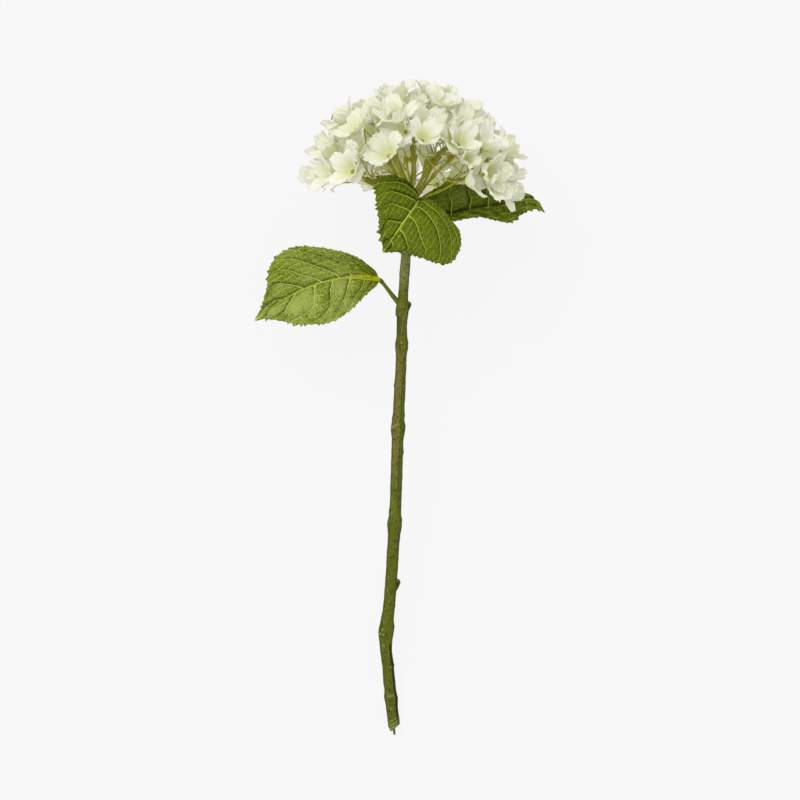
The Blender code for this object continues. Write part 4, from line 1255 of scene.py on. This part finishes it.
def ring_directions(rings):
    """Directions of the places on rings round the dome; those at the front are raised a little."""
    found = []
    for ring in rings:
        for k in range(ring.count):
            if k not in ring.skipped:
                azimuth = ring.start + 360.0 / ring.count * k
                facing = max(math.cos(math.radians(azimuth - FRONT_AZIMUTH)), 0.0)
                raised = FRONT_RISE * ring.polar / 90.0 * facing**FRONT_NARROWNESS
                found.append(direction(ring.polar - raised, azimuth))
    return found


STALK_DROOP = 0.25  # how far the stalks that leave the hub sideways bend down first
STALK_RISE = 0.013
SLIM_STALKS = (1, 5, 6)  # slimmer, as they stand before others
# Thin stalks, which belong to the nearest spray: polar and azimuth angle, and length
THIN_STALKS = (
    (22.7, 138.0, 0.0465),
    (33.9, 100.5, 0.0365),
    (40.1, 84.0, 0.0416),
    (44.7, 65.0, 0.0405),
    (47.0, 29.0, 0.0470),
)
THIN_BEND = 0.05


def stalks_of_the_bloom():
    """Each spray's stalk, and the thin ones between them, as a few points from the hub to the fork."""
    hub = Vector(STEM_LINE[0])
    axes = ring_directions(SPRAY_RINGS)
    found = []
    for number, way in enumerate(axes):
        fork = hub.lerp(way * DOME_RADIUS, FORK_SHARE)
        bend = (fork - hub).normalized() - Vector((0, STALK_DROOP * (1 - way.y), 0))
        found.append(Stalk(number, [hub, hub + bend * STALK_RISE, fork]))
    for polar, azimuth, length in THIN_STALKS:
        way = direction(polar, azimuth)
        nearest = max(range(len(axes)), key=lambda k: axes[k].dot(way))
        side = Vector((way.z, 0.0, -way.x)) * THIN_BEND
        found.append(Stalk(nearest, [hub, hub + (way + side) * length * 0.5, hub + way * length]))
    return found


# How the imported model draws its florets: spreads of their lean and place, and least and greatest values
LEAN_SPREAD = 0.12
PLACE_SPREAD = 0.035
RADIUS_RANGE = (-0.005, 0.004)
CUP_RANGE = (0.75, 1.15)
PETAL_CUP_RANGE = (0.85, 1.15)
PETAL_LENGTH_RANGE = (0.93, 1.06)
REFLEX_RANGE = (0.2, 1.8)


def spread_vector(draw, spread):
    return Vector([draw.gauss(0, spread) for _ in range(3)])


def facing_frame(axis, draw):
    """Axes of a floret that faces the given way, turned about it by chance."""
    turned = Vector((0, 0, 1)).rotation_difference(axis).to_matrix()
    return turned @ Matrix.Rotation(draw.uniform(0, PETAL_TURN), 3, "Z")


def drawn_floret(draw, way, number, stalk):
    """One seeded try at a floret near its place on the dome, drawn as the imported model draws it."""
    lean, shift = spread_vector(draw, LEAN_SPREAD), spread_vector(draw, PLACE_SPREAD)
    base = (way + shift).normalized() * (DOME_RADIUS + draw.uniform(*RADIUS_RANGE))
    turned = facing_frame((way + lean).normalized(), draw)
    cup = CUP_ANGLE * draw.uniform(*CUP_RANGE)
    petals = []
    for _ in range(PETALS):
        length = PETAL_LENGTH * draw.uniform(*PETAL_LENGTH_RANGE)
        petal_cup = cup * draw.uniform(*PETAL_CUP_RANGE)
        petals.append(PetalDraw(length, petal_cup, REFLEX_ANGLE * draw.uniform(*REFLEX_RANGE)))
    return Floret(number, stalk, np.array(base), np.array(turned), petals)


def petal_profile(petal, steps=12):
    """Out and up distances along a petal, from the eye to the tip."""
    middle = (np.arange(steps) + 0.5) / steps
    slope = petal.cup * smooth_step(0.0, 0.25, middle) - petal.reflex * smooth_step(0.45, 1.0, middle)
    out = np.concatenate([[0.0], np.cumsum(np.cos(slope))]) * petal.length / steps
    up = np.concatenate([[0.0], np.cumsum(np.sin(slope))]) * petal.length / steps
    return out, up


TIP_ROUNDING, TIP_SQUARENESS = 0.17, 2.4
TIP_NOTCH, TIP_NOTCH_WIDTH = 0.07, 0.22
TIP_NARROWING = 0.10
RIM_DROP = 0.0012


def packed_tips(floret):
    """The tips' five points of each petal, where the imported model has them."""
    found = []
    for k, petal in enumerate(floret.petals):
        out, up = petal_profile(petal)
        for side in TIP_SIDES:
            tip = 1.0 - TIP_ROUNDING * abs(side) ** TIP_SQUARENESS - TIP_NOTCH * hump(side, TIP_NOTCH_WIDTH)
            gone = petal.length * tip
            angle = min(CLEFT_ANGLE, math.asin(min(PETAL_HALF_WIDTH / gone, 1.0))) * (1.0 - TIP_NARROWING)
            steps = np.linspace(0, petal.length, len(out))
            radius, rise = np.interp(gone, steps, out), np.interp(gone, steps, up) - RIM_DROP * side * side
            around = PETAL_TURN * k + angle * side
            found.append((radius * math.cos(around), radius * math.sin(around), rise))
    points = floret.base + np.array(found) @ floret.frame.T
    return lifted(points, PETAL_THICKNESS / 2)


MOST_TRIES = 500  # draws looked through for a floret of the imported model
TIP_NEAR = 0.6 * PETAL_THICKNESS  # a tip this near a corner of the solid counts as found
TIPS_NEEDED = 13  # of the 20 in a floret


def packed_florets():
    """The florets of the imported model: for each place, the draw whose petal tips are found in its spray."""
    axes = ring_directions(SPRAY_RINGS)
    trees = []
    back = LAY_DOWN.inverted()
    for number in range(len(axes)):
        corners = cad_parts[f"spray_{number + 1:02d}"].data.vertices
        tree = KDTree(len(corners))
        for k, corner in enumerate(corners):
            tree.insert(back @ corner.co, k)
        tree.balance()
        trees.append(tree)
    florets = []
    for number, way in enumerate(ring_directions(FLORET_RINGS)):
        spray = max(range(len(axes)), key=lambda k: axes[k].dot(way))
        draw = random.Random(SEED * 1000 + number)
        for _ in range(MOST_TRIES):
            floret = drawn_floret(draw, way, number, spray)
            if sum(trees[spray].find(tip)[2] < TIP_NEAR for tip in packed_tips(floret)) >= TIPS_NEEDED:
                florets.append(floret)
                break
        else:
            raise RuntimeError(f"floret {number} isn't in the packed model")
    return florets


TUCK_CUP, TUCK_LENGTH, TUCK_REFLEX = 0.75, 0.22, 0.7  # how much it closes, shortens and straightens


def tucked(floret):
    """The floret with its low petals on the far left closed, so that they don't hang below the dome."""
    petals = []
    for k, petal in enumerate(floret.petals):
        out, up = petal_profile(petal)
        turn = PETAL_TURN * k
        reach = np.array((out[-1] * math.cos(turn), out[-1] * math.sin(turn), up[-1]))
        tip = floret.base + floret.frame @ reach
        hangs = float(smooth_step(0.012, -0.002, tip[1]) * smooth_step(-0.012, -0.022, tip[0]))
        hangs *= float(smooth_step(0.035, 0.015, floret.base[2]))
        length, reflex = petal.length * (1 - TUCK_LENGTH * hangs), petal.reflex * (1 - TUCK_REFLEX * hangs)
        petals.append(PetalDraw(length, petal.cup + TUCK_CUP * hangs, reflex))
    return floret._replace(petals=petals)


EYE_HOLE = 0.0006
PROFILE_STEPS = 36


def petal_sheet(petal, turn, rows, sides, reach, fringe, half_width, cleft=CLEFT_ANGLE):
    """The smooth sheet of a petal, rows from the eye to the tip, with the distances gone along it."""
    nicked = fringe * smooth_step(0.82, 1.0, rows) ** 1.4
    gone = EYE_HOLE + (petal.length * reach - EYE_HOLE - nicked) * rows
    wide = np.minimum(cleft, np.arcsin(np.minimum(half_width / np.maximum(gone, 1e-4), 1.0)))
    wide = wide * (1.0 - 0.08 * smooth_step(0.78, 1.0, rows))
    wide = math.pi / 4 + (wide - math.pi / 4) * smooth_step(EYE_RADIUS * 0.9, EYE_RADIUS * 1.5, gone)
    out, up = petal_profile(petal, PROFILE_STEPS)
    steps = np.linspace(0, petal.length, len(out))
    radius, rise = np.interp(gone, steps, out), np.interp(gone, steps, up)
    rise = rise - RIM_DROP * sides**2 * smooth_step(0.3, 0.9, rows)
    around = turn + wide * sides
    return np.stack([radius * np.cos(around), radius * np.sin(around), rise], axis=-1), gone


COARSE = 7  # rows and columns of a petal that is tested against its neighbours


def coarse_tree(floret):
    """A coarse copy of a floret's petals, to test it against its neighbours."""
    rows, sides = np.linspace(0.15, 1, COARSE)[:, None], np.linspace(-1, 1, COARSE)[None, :]
    reach = 1.0 - 0.15 * np.abs(sides) ** 2.6
    corners, faces = [], []
    for k, petal in enumerate(floret.petals):
        turn = PETAL_TURN * k
        grid, _ = petal_sheet(petal, turn, rows, sides, reach, 0.0, PETAL_HALF_WIDTH * 0.9)
        faces += grid_faces(COARSE, COARSE, start=k * COARSE**2)
        corners.append(grid.reshape(-1, 3))
    corners = floret.base + np.vstack(corners) @ floret.frame.T
    return BVHTree.FromPolygons(corners.tolist(), faces)


FILL_PLACES = 700
FILL_POLAR = (4.0, 84.0)
FILL_TRIES = 16
FILL_LEAN_SPREAD = 0.20
FILL_CUP_RANGE = (0.75, 1.25)
FILL_PETAL_CUP_RANGE = (0.7, 1.25)
FILL_LENGTH_RANGE = (0.0185, 0.0220)
FILL_REFLEX_RANGE = (0.1, 0.9)
FILL_DEPTH = (0.003, 0.010)  # how far below the dome a fill floret sits
FULL_DEPTH = (-0.002, 0.003)
# Fill florets with a place of their own near the dome's surface: polar and azimuth angle
FULL_FILLERS = (
    (88.0, 22.0),
    (86.0, 38.0),
    (80.0, 6.0),
    (71.0, 130.0),
    (70.0, 57.0),
    (43.0, 119.0),
    (56.0, 66.0),
    (47.0, 98.0),
)
NEIGHBOURS = 0.05  # florets further apart than this can't touch
FORK_PULL = 0.6  # a fill floret springs from the fork nearest to this share of its place


def fill_places():
    """Directions spread evenly over the dome, but for its rim and the part where the stalks show."""
    places = []
    for k in range(FILL_PLACES):
        polar = math.degrees(math.acos(1 - (k + 0.5) / FILL_PLACES))
        way = direction(polar, math.degrees(k * math.pi * (3 - math.sqrt(5))))
        stalks_show = polar > 43 and way.z > 0.30 and -0.62 < way.x < 0.60
        if FILL_POLAR[0] < polar < FILL_POLAR[1] and not stalks_show:
            places.append(way)
    return places


def drawn_filler(draw, way, number, forks, depth):
    """One seeded try at a fill floret."""
    axis = (way + spread_vector(draw, FILL_LEAN_SPREAD)).normalized()
    base = way * (DOME_RADIUS - draw.uniform(*depth))
    turned = facing_frame(axis, draw)
    cup = draw.uniform(*FILL_CUP_RANGE)
    petals = []
    for _ in range(PETALS):
        length, petal_cup = draw.uniform(*FILL_LENGTH_RANGE), cup * draw.uniform(*FILL_PETAL_CUP_RANGE)
        petals.append(PetalDraw(length, petal_cup, draw.uniform(*FILL_REFLEX_RANGE)))
    fork = min(range(len(forks)), key=lambda k: (forks[k] - base * FORK_PULL).length)
    return tucked(Floret(len(FLORETS) + number, fork, np.array(base), np.array(turned), petals))


def filler_florets(count):
    """More florets, one after the other in the widest gap of the dome, each the best of a few tries."""
    draw = random.Random(SEED * 53)
    ways = [Vector(floret.base).normalized() for floret in FLORETS]
    trees = [(floret.base, coarse_tree(floret)) for floret in FLORETS]
    forks = [Vector(stalk.points[-1]) for stalk in stalks_of_the_bloom()]
    places = fill_places()
    found = []
    for number in range(count):
        full = number < len(FULL_FILLERS)
        if full:
            way = direction(*FULL_FILLERS[number])
        else:
            way = min(places, key=lambda free: max(free.dot(other) for other in ways))
        ways.append(way)
        best = None
        for _ in range(FILL_TRIES):
            floret = drawn_filler(draw, way, number, forks, FULL_DEPTH if full else FILL_DEPTH)
            tree = coarse_tree(floret)
            near = [other for middle, other in trees if np.linalg.norm(middle - floret.base) < NEIGHBOURS]
            crossings = sum(len(tree.overlap(other)) for other in near)
            if best is None or crossings < best[0]:
                best = (crossings, floret, tree)
        found.append(best[1])
        trees.append((best[1].base, best[2]))
    return found


PETAL_ROWS = 19
PETAL_COLUMNS = 23
TIP_FALL, TIP_POWER = (0.10, 0.17), (2.4, 3.6)  # how far the tip falls back at its sides, and how suddenly
TIP_DIP = (0.0, 0.07)
OVERLAP_ANGLE = math.radians(47.0)  # two petals lie over the other two
LAYER_STEP = 0.00030  # from their middle to the upper two
DIP_PLACES, DIP_WIDTH = (-0.35, 0.35), 0.16
NICK_DEPTHS = (0.3, 1.0)
WIDTH_RANGE = (0.82, 0.97)
RIPPLE_RANGE = (0.6, 1.5)
WAVES_ALONG, WAVES_ACROSS = (2.2, 3.6), (1.6, 3.0)  # half waves along a side, and from middle to side
FOLD_PLACES, FOLD_WIDTH = (-0.5, 0.5), 0.20
FOLD_RANGE = (-0.0008, 0.0011)
CURL_RANGE = (-0.0016, 0.0022)
TWIST_RANGE = (-0.0014, 0.0014)
CREASE_DEPTH, CREASE_WIDTH = 0.00025, 0.07
JAG_RANGE = (-0.3, 1.0)


def tip_nicks(draw):
    """Depths of the nicks in a petal's tip, one for each column of its grid."""
    nicks = np.zeros(PETAL_COLUMNS)
    at = draw.choice((0, 1))
    while at < PETAL_COLUMNS:
        nicks[at] = draw.uniform(*NICK_DEPTHS)
        if draw.random() < 0.4 and at + 1 < PETAL_COLUMNS:
            nicks[at + 1] = nicks[at] * draw.uniform(0.2, 0.9)
            at += 1
        at += draw.choice((2, 2, 3, 4))
    return nicks


def petal_grid(petal, turn, settings, draw):
    """A petal as a grid of points from the floret's middle to its nicked tip, and its map."""
    rows = np.linspace(0, 1, PETAL_ROWS)[:, None] ** 0.85
    sides = np.linspace(-1, 1, PETAL_COLUMNS)[None, :]
    reach = 1.0 - draw.uniform(*TIP_FALL) * np.abs(sides) ** draw.uniform(*TIP_POWER)
    reach = reach - draw.uniform(*TIP_DIP) * hump(sides - draw.uniform(*DIP_PLACES), DIP_WIDTH)
    fringe = settings.tooth * tip_nicks(draw)[None, :]
    half_width = PETAL_HALF_WIDTH * draw.uniform(*WIDTH_RANGE)
    grid, gone = petal_sheet(petal, turn, rows, sides, reach, fringe, half_width, OVERLAP_ANGLE)
    layer = 1.0 if turn % math.pi < 0.1 else -1.0
    grid[..., 2] += layer * LAYER_STEP * smooth_step(0.10, 0.35, rows)

    normal = -grid_normals(grid)
    waves = settings.ripple * draw.uniform(*RIPPLE_RANGE)
    free = smooth_step(0.25, 1.0, rows)
    wave = np.sin(math.pi * (draw.uniform(*WAVES_ALONG) * rows * np.sign(sides)) + any_phase(draw))
    rise = waves * free * np.abs(sides) ** 2.0 * wave
    wave = np.sin(math.pi * draw.uniform(*WAVES_ACROSS) * sides + any_phase(draw))
    rise = rise + waves * free**2 * 0.8 * wave
    fold = draw.uniform(*FOLD_PLACES)
    rise = rise + draw.uniform(*FOLD_RANGE) * free * hump(sides - fold, FOLD_WIDTH)
    crease = CREASE_DEPTH * smooth_step(0.08, 0.3, rows) * smooth_step(1.0, 0.6, rows)
    rise = rise - crease * hump(sides, CREASE_WIDTH)
    rise = rise + draw.uniform(*CURL_RANGE) * smooth_step(0.70, 1.0, rows) ** 2
    rise = rise + draw.uniform(*TWIST_RANGE) * sides * free
    grid = grid + normal * rise[..., None]
    for rim, inside in ((0, 1), (-1, -2)):
        jag = np.array([draw.uniform(*JAG_RANGE) for _ in range(PETAL_ROWS)])[:, None]
        jag = jag * smooth_step(0.35, 0.65, rows)
        grid[:, rim] += unit(grid[:, rim] - grid[:, inside]) * jag * settings.jag
    ones = np.ones_like(gone)
    petal_map = np.stack([gone / petal.length, sides * ones, rows * ones], axis=-1)
    return grid, petal_map


def floret_mesh(floret, settings):
    """The four petals of a floret, cut from one sheet round its button."""
    draw = random.Random(SEED * 7919 + floret.number)
    grids, maps, faces = [], [], []
    for k, petal in enumerate(floret.petals):
        grid, petal_map = petal_grid(petal, PETAL_TURN * k, settings, draw)
        faces += grid_faces(PETAL_ROWS, PETAL_COLUMNS, start=k * PETAL_ROWS * PETAL_COLUMNS)
        grids.append(grid.reshape(-1, 3))
        maps.append(petal_map.reshape(-1, 3))
    points = lifted(floret.base + np.vstack(grids) @ floret.frame.T, settings.fabric)
    tint = np.full(len(points), draw.random())
    return points, faces, {"petal_map": np.vstack(maps), "petal_tint": tint}


EYE_GREEN = (0.42, 0.42, 0.08)


def petal_finish(settings):
    """Thin cloth: greener in its throat, paler at its rim, with faint veins, and it lets light through."""
    made, tree = finish("petal_fabric")
    along, side, row = vector_map(tree, "petal_map")
    tint = value_map(tree, "petal_tint")
    spot = node(tree, "TexCoord").outputs["Object"]
    fan = place(tree, times(tree, side, 6.0), times(tree, along, 1.1), times(tree, tint, 40.0))
    veins = grain(tree, 1.6, 3.0, fan, 0.55)
    depth = stepped(tree, plus(tree, along, times(tree, grain(tree, 90.0, 2.0, spot), 0.22)), 0.80, 0.14)
    sides = stepped(tree, reckon(tree, "ABSOLUTE", side), 0.72, 1.0)
    edge = reckon(tree, "MAXIMUM", stepped(tree, row, 0.80, 1.0), sides)
    edge = times(tree, edge, stepped(tree, along, 0.35, 0.75))
    tone = coats(
        tree,
        settings.cream,
        (times(tree, depth, 0.85), settings.throat),
        (times(tree, edge, 0.75), settings.rim),
        (times(tree, tint, 0.20), settings.throat),
        (stepped(tree, veins, 0.52, 0.72, 0.0, 0.16), settings.throat),
        (times(tree, stepped(tree, along, 0.115, 0.06), 0.75), EYE_GREEN),
    )
    bump = bumped(tree, plus(tree, veins, times(tree, grain(tree, 4200.0, 1.0, spot), 0.22)), 0.5, 0.0003)
    front = coated(tree, tone, 0.72, 0.18, bump)
    passed = blended(tree, 0.22, tone, settings.throat)
    through = node(tree, "BsdfTranslucent", {"Color": passed, "Normal": bump}).outputs[0]
    return finished(made, node(tree, "MixShader", {0: settings.glow, 1: front, 2: through}).outputs[0])


class HYDRANGEA_OT_florets(bpy.types.Operator):
    """Makes the fabric florets of every spray"""

    bl_idname = "hydrangea.florets"
    bl_label = "Make the florets"

    def execute(self, context):
        settings = context.scene.hydrangea_petal
        petals = petal_finish(settings)
        stalks = stalks_of_the_bloom()
        for floret in [tucked(floret) for floret in FLORETS] + filler_florets(settings.fillers):
            points, faces, maps = floret_mesh(floret, settings)
            label = f"spray_{stalks[floret.stalk].node + 1:02d}"
            name = f"{label}_floret_{floret.number + 1:02d}"
            made = piece(name, points, faces, [petals], label, maps, weld=True)
            fabric(made, settings.fabric)
        return {"FINISHED"}


# ---------------------------------------------------------------- stalks

STALK_ROWS, STALK_SIDES = 56, 16
PEDICEL_ROWS, PEDICEL_SIDES = 34, 10
PEDICEL_SUNK = 0.0015  # how deep its foot stands in the fork
PEDICEL_BOW = (0.45, 0.40)  # how far it follows the stalk's way and its floret's, as shares of its length
NECK_ROWS = 8
CURLED = 0.4  # share of the pedicels that make a loop
LOOP_RANGE = (0.0014, 0.0026)
LOOSE_RANGE = (0.0004, 0.0012)
LOOSE_WAVES = (0.8, 1.6)
SWAY = 0.0006
CAP_RISES = np.linspace(0.0, 0.0017, 5)
CAP_TAPER = np.array([1.02, 1.05, 0.95, 0.7, 0.3])
CALYX_RADIUS = 0.00046
CALYX_FLARE = np.array([1.1, 1.3, 1.6, 1.9, 2.2, 2.5, 3.0, 3.4])
BUTTON_RADIUS = 0.00105
BUTTON_RISES = np.array([-0.0004, 0.0002, 0.0007, 0.0011, 0.0013])
BUTTON_TAPER = np.array([0.9, 1.0, 0.92, 0.62, 0.2])


def pedicel_line(floret, fork, along, draw):
    """The thin stalk of a floret, from its spray's fork to the back of its petals, with a loose curl."""
    axis = floret.frame[:, 2]
    throat = floret.base - axis * CALYX_LENGTH
    foot = fork - along * PEDICEL_SUNK
    reach = np.linalg.norm(throat - foot)
    first, second = foot + along * reach * PEDICEL_BOW[0], throat - axis * reach * PEDICEL_BOW[1]
    t = np.linspace(0, 1, PEDICEL_ROWS)[:, None]
    line = (1 - t) ** 3 * foot + 3 * (1 - t) ** 2 * t * first + 3 * (1 - t) * t**2 * second + t**3 * throat
    sides, others, _ = carried_frames(line)
    turn = any_phase(draw)
    spread = math.cos(turn) * sides + math.sin(turn) * others
    cross = -math.sin(turn) * sides + math.cos(turn) * others
    loose = spread * np.sin(math.pi * t) * draw.uniform(*LOOSE_RANGE)
    line = line + loose * np.sin(2 * math.pi * draw.uniform(*LOOSE_WAVES) * t)
    if draw.random() < CURLED:
        part = smooth_step(0.12, 0.75, t)
        size = draw.uniform(*LOOP_RANGE)
        line = line + size * ((1 - np.cos(2 * math.pi * part)) * spread + np.sin(2 * math.pi * part) * cross)
    neck = floret.base - axis * np.linspace(CALYX_LENGTH * 0.85, 0.0, NECK_ROWS)[:, None]
    return np.vstack([line, neck])


def stalk_mesh(line_points, florets, settings, draw, size):
    """One moulded spray: stalk, fork cushion, and for each floret its pedicel, calyx and button."""
    shells, faces, along_map, count = [], [], [], 0

    def add(line, radii, sides, start_at, end_at):
        nonlocal count
        points, new = swept(line, radii, sides, count)
        shells.append(points)
        faces.extend(new)
        along_map.append(np.repeat(np.linspace(start_at, end_at, len(line)), sides))
        count += len(points)

    line = evenly_along([tuple(point) for point in line_points], STALK_ROWS)
    sides, others, ways = carried_frames(line)
    part = np.linspace(0, 1, len(line))
    sway = SWAY * np.sin(math.pi * part) * np.sin(part * 7.0 + any_phase(draw))
    line = line + sides * sway[:, None] + others * (0.7 * sway[::-1])[:, None]
    turns = np.linspace(0, 2 * math.pi, STALK_SIDES, endpoint=False)
    cushion = settings.cushion * size
    radius = settings.stalk * size * (1.0 + 0.12 * np.sin(part * 9.0 + any_phase(draw)))
    radius = radius + (cushion - radius) * smooth_step(0.80, 0.98, part) ** 1.3
    radius = radius * (1.0 + 0.22 * (1 - smooth_step(0.10, 0.32, part)))
    flat = 1.0 + 0.13 * np.cos(2 * turns)[None] + 0.05 * np.cos(5 * turns + 1.0)[None]
    add(line, radius[:, None] * flat, STALK_SIDES, 0.0, 1.0)
    fork, along = line[-1], ways[-1]
    lumps = 1 + 0.10 * np.cos(3 * turns + 0.5)
    add(fork + along * CAP_RISES[:, None], cushion * CAP_TAPER[:, None] * lumps[None], STALK_SIDES, 1.0, 1.12)

    for floret in florets:
        path = pedicel_line(floret, np.array(line_points[-1]), along, draw)
        rows = np.arange(len(path))
        radii = np.full(len(path), settings.pedicel) * (1.0 + 0.10 * np.sin(rows * 0.9 + floret.number))
        radii[:5] = np.linspace(2.2, 1.0, 5) * settings.pedicel
        radii[-NECK_ROWS:] = CALYX_FLARE * CALYX_RADIUS
        add(path, radii, PEDICEL_SIDES, 1.15, 1.9)
        button = floret.base + floret.frame[:, 2] * BUTTON_RISES[:, None]
        lobes = 1 + 0.22 * np.cos(4 * turns)
        add(button, BUTTON_RADIUS * BUTTON_TAPER[:, None] * lobes[None], STALK_SIDES, 2.2, 2.4)
    along_map = np.concatenate(along_map)
    maps = {"stalk_along": along_map, "stalk_tint": np.full(len(along_map), draw.random())}
    return lifted(np.vstack(shells), 0.0001), faces, maps


# Colours of the pedicel, the calyx and the button: where on the map each begins and is full, and the colour
UPPER_SHADES = (
    (1.05, 1.35, (0.42, 0.39, 0.085)),
    (1.70, 1.88, (0.42, 0.42, 0.11)),
    (2.0, 2.1, (0.26, 0.24, 0.035)),
    (2.28, 2.36, (0.44, 0.40, 0.08)),
)
STALK_PALE = (0.45, 0.42, 0.11)
STALK_DEEP = (0.19, 0.185, 0.020)
STALK_SEAM = (0.15, 0.145, 0.016)


def stalk_finish(settings):
    """Moulded plastic: green at the foot, olive along the stalk, brown at the fork, with seams down it."""
    made, tree = finish("moulded_stalk")
    along, tint = value_map(tree, "stalk_along"), value_map(tree, "stalk_tint")
    spot = node(tree, "TexCoord").outputs["Object"]
    x, y, _ = parts_of(tree, spot)
    mottle = grain(tree, 620.0, 3.0, spot)
    broad = grain(tree, 120.0, 2.0, spot)
    seam = grain(tree, 300.0, 2.0, place(tree, x, times(tree, y, 0.15)))
    tone = coats(
        tree,
        settings.stalk_green,
        (stepped(tree, along, 0.05, 0.55), settings.stalk_olive),
        (stepped(tree, along, 0.72, 0.98), settings.stalk_brown),
        *((stepped(tree, along, low, high), shade) for low, high, shade in UPPER_SHADES),
        (stepped(tree, mottle, 0.46, 0.70, 0.0, 0.45), scaled(settings.stalk_olive, 0.6)),
        (stepped(tree, broad, 0.50, 0.70, 0.0, 0.35), STALK_PALE),
        (times(tree, times(tree, tint, stepped(tree, along, 1.2, 1.0)), 0.38), STALK_DEEP),
        (stepped(tree, seam, 0.50, 0.64, 0.0, 0.35), STALK_SEAM),
    )
    roughness = stepped(tree, mottle, 0.3, 0.7, 0.42, 0.6)
    return finished(made, coated(tree, tone, roughness, 0.10, bumped(tree, mottle, 0.5, 0.0003)))


THIN_SIZE = 0.80
SLIM_SIZE = 0.72


class HYDRANGEA_OT_stalks(bpy.types.Operator):
    """Makes the moulded stalks that carry the florets"""

    bl_idname = "hydrangea.stalks"
    bl_label = "Make the stalks"

    def execute(self, context):
        settings = context.scene.hydrangea_stalk
        plastic = stalk_finish(settings)
        florets = FLORETS + filler_florets(context.scene.hydrangea_petal.fillers)
        for number, stalk in enumerate(stalks_of_the_bloom()):
            label = f"spray_{stalk.node + 1:02d}"
            own = [floret for floret in florets if floret.stalk == number]
            thin = number >= len(ring_directions(SPRAY_RINGS))
            size = THIN_SIZE if thin else SLIM_SIZE if number in SLIM_STALKS else 1.0
            draw = random.Random(SEED * 31 + number)
            points, faces, maps = stalk_mesh(stalk.points, own, settings, draw, size)
            name = f"{label}_thin_stalk_{number + 1:02d}" if thin else f"{label}_stalk"
            piece(name, points, faces, [plastic], label, maps)
        return {"FINISHED"}


# ---------------------------------------------------------------- add-on


class HYDRANGEA_PT_maker(bpy.types.Panel):
    """Lists what makes the flower, with its sizes and colours"""

    bl_idname = "HYDRANGEA_PT_maker"
    bl_label = "Cut Hydrangea"
    bl_space_type = "VIEW_3D"
    bl_region_type = "UI"
    bl_category = "Hydrangea"

    def draw(self, context):
        for group, steps in MAKING:
            box = self.layout.box()
            settings = getattr(context.scene, group)
            for label in settings.bl_rna.properties.keys():
                if label not in ("rna_type", "name"):
                    box.prop(settings, label)
            for step in steps:
                box.operator(step.bl_idname)


SETTINGS = (
    ("hydrangea_stage", StageSettings),
    ("hydrangea_stem", StemSettings),
    ("hydrangea_leaf", LeafSettings),
    ("hydrangea_stalk", StalkSettings),
    ("hydrangea_petal", PetalSettings),
)
MAKING = (
    ("hydrangea_stage", (HYDRANGEA_OT_stage,)),
    ("hydrangea_stem", (HYDRANGEA_OT_stem, HYDRANGEA_OT_wire)),
    ("hydrangea_leaf", (HYDRANGEA_OT_leaves,)),
    ("hydrangea_stalk", (HYDRANGEA_OT_stalks,)),
    ("hydrangea_petal", (HYDRANGEA_OT_florets,)),
)


def register():
    for label, group in SETTINGS:
        bpy.utils.register_class(group)
        setattr(bpy.types.Scene, label, bpy.props.PointerProperty(type=group))
    for _, steps in MAKING:
        for step in steps:
            bpy.utils.register_class(step)
    bpy.utils.register_class(HYDRANGEA_PT_maker)


def unregister():
    bpy.utils.unregister_class(HYDRANGEA_PT_maker)
    for _, steps in MAKING:
        for step in steps:
            bpy.utils.unregister_class(step)
    for label, group in SETTINGS:
        delattr(bpy.types.Scene, label)
        bpy.utils.unregister_class(group)


FLORETS = packed_florets()


def main():
    register()
    bpy.ops.hydrangea.stage()
    bpy.ops.hydrangea.stem()
    bpy.ops.hydrangea.wire()
    bpy.ops.hydrangea.leaves()
    bpy.ops.hydrangea.stalks()
    bpy.ops.hydrangea.florets()


if __name__ == "__main__":
    main()
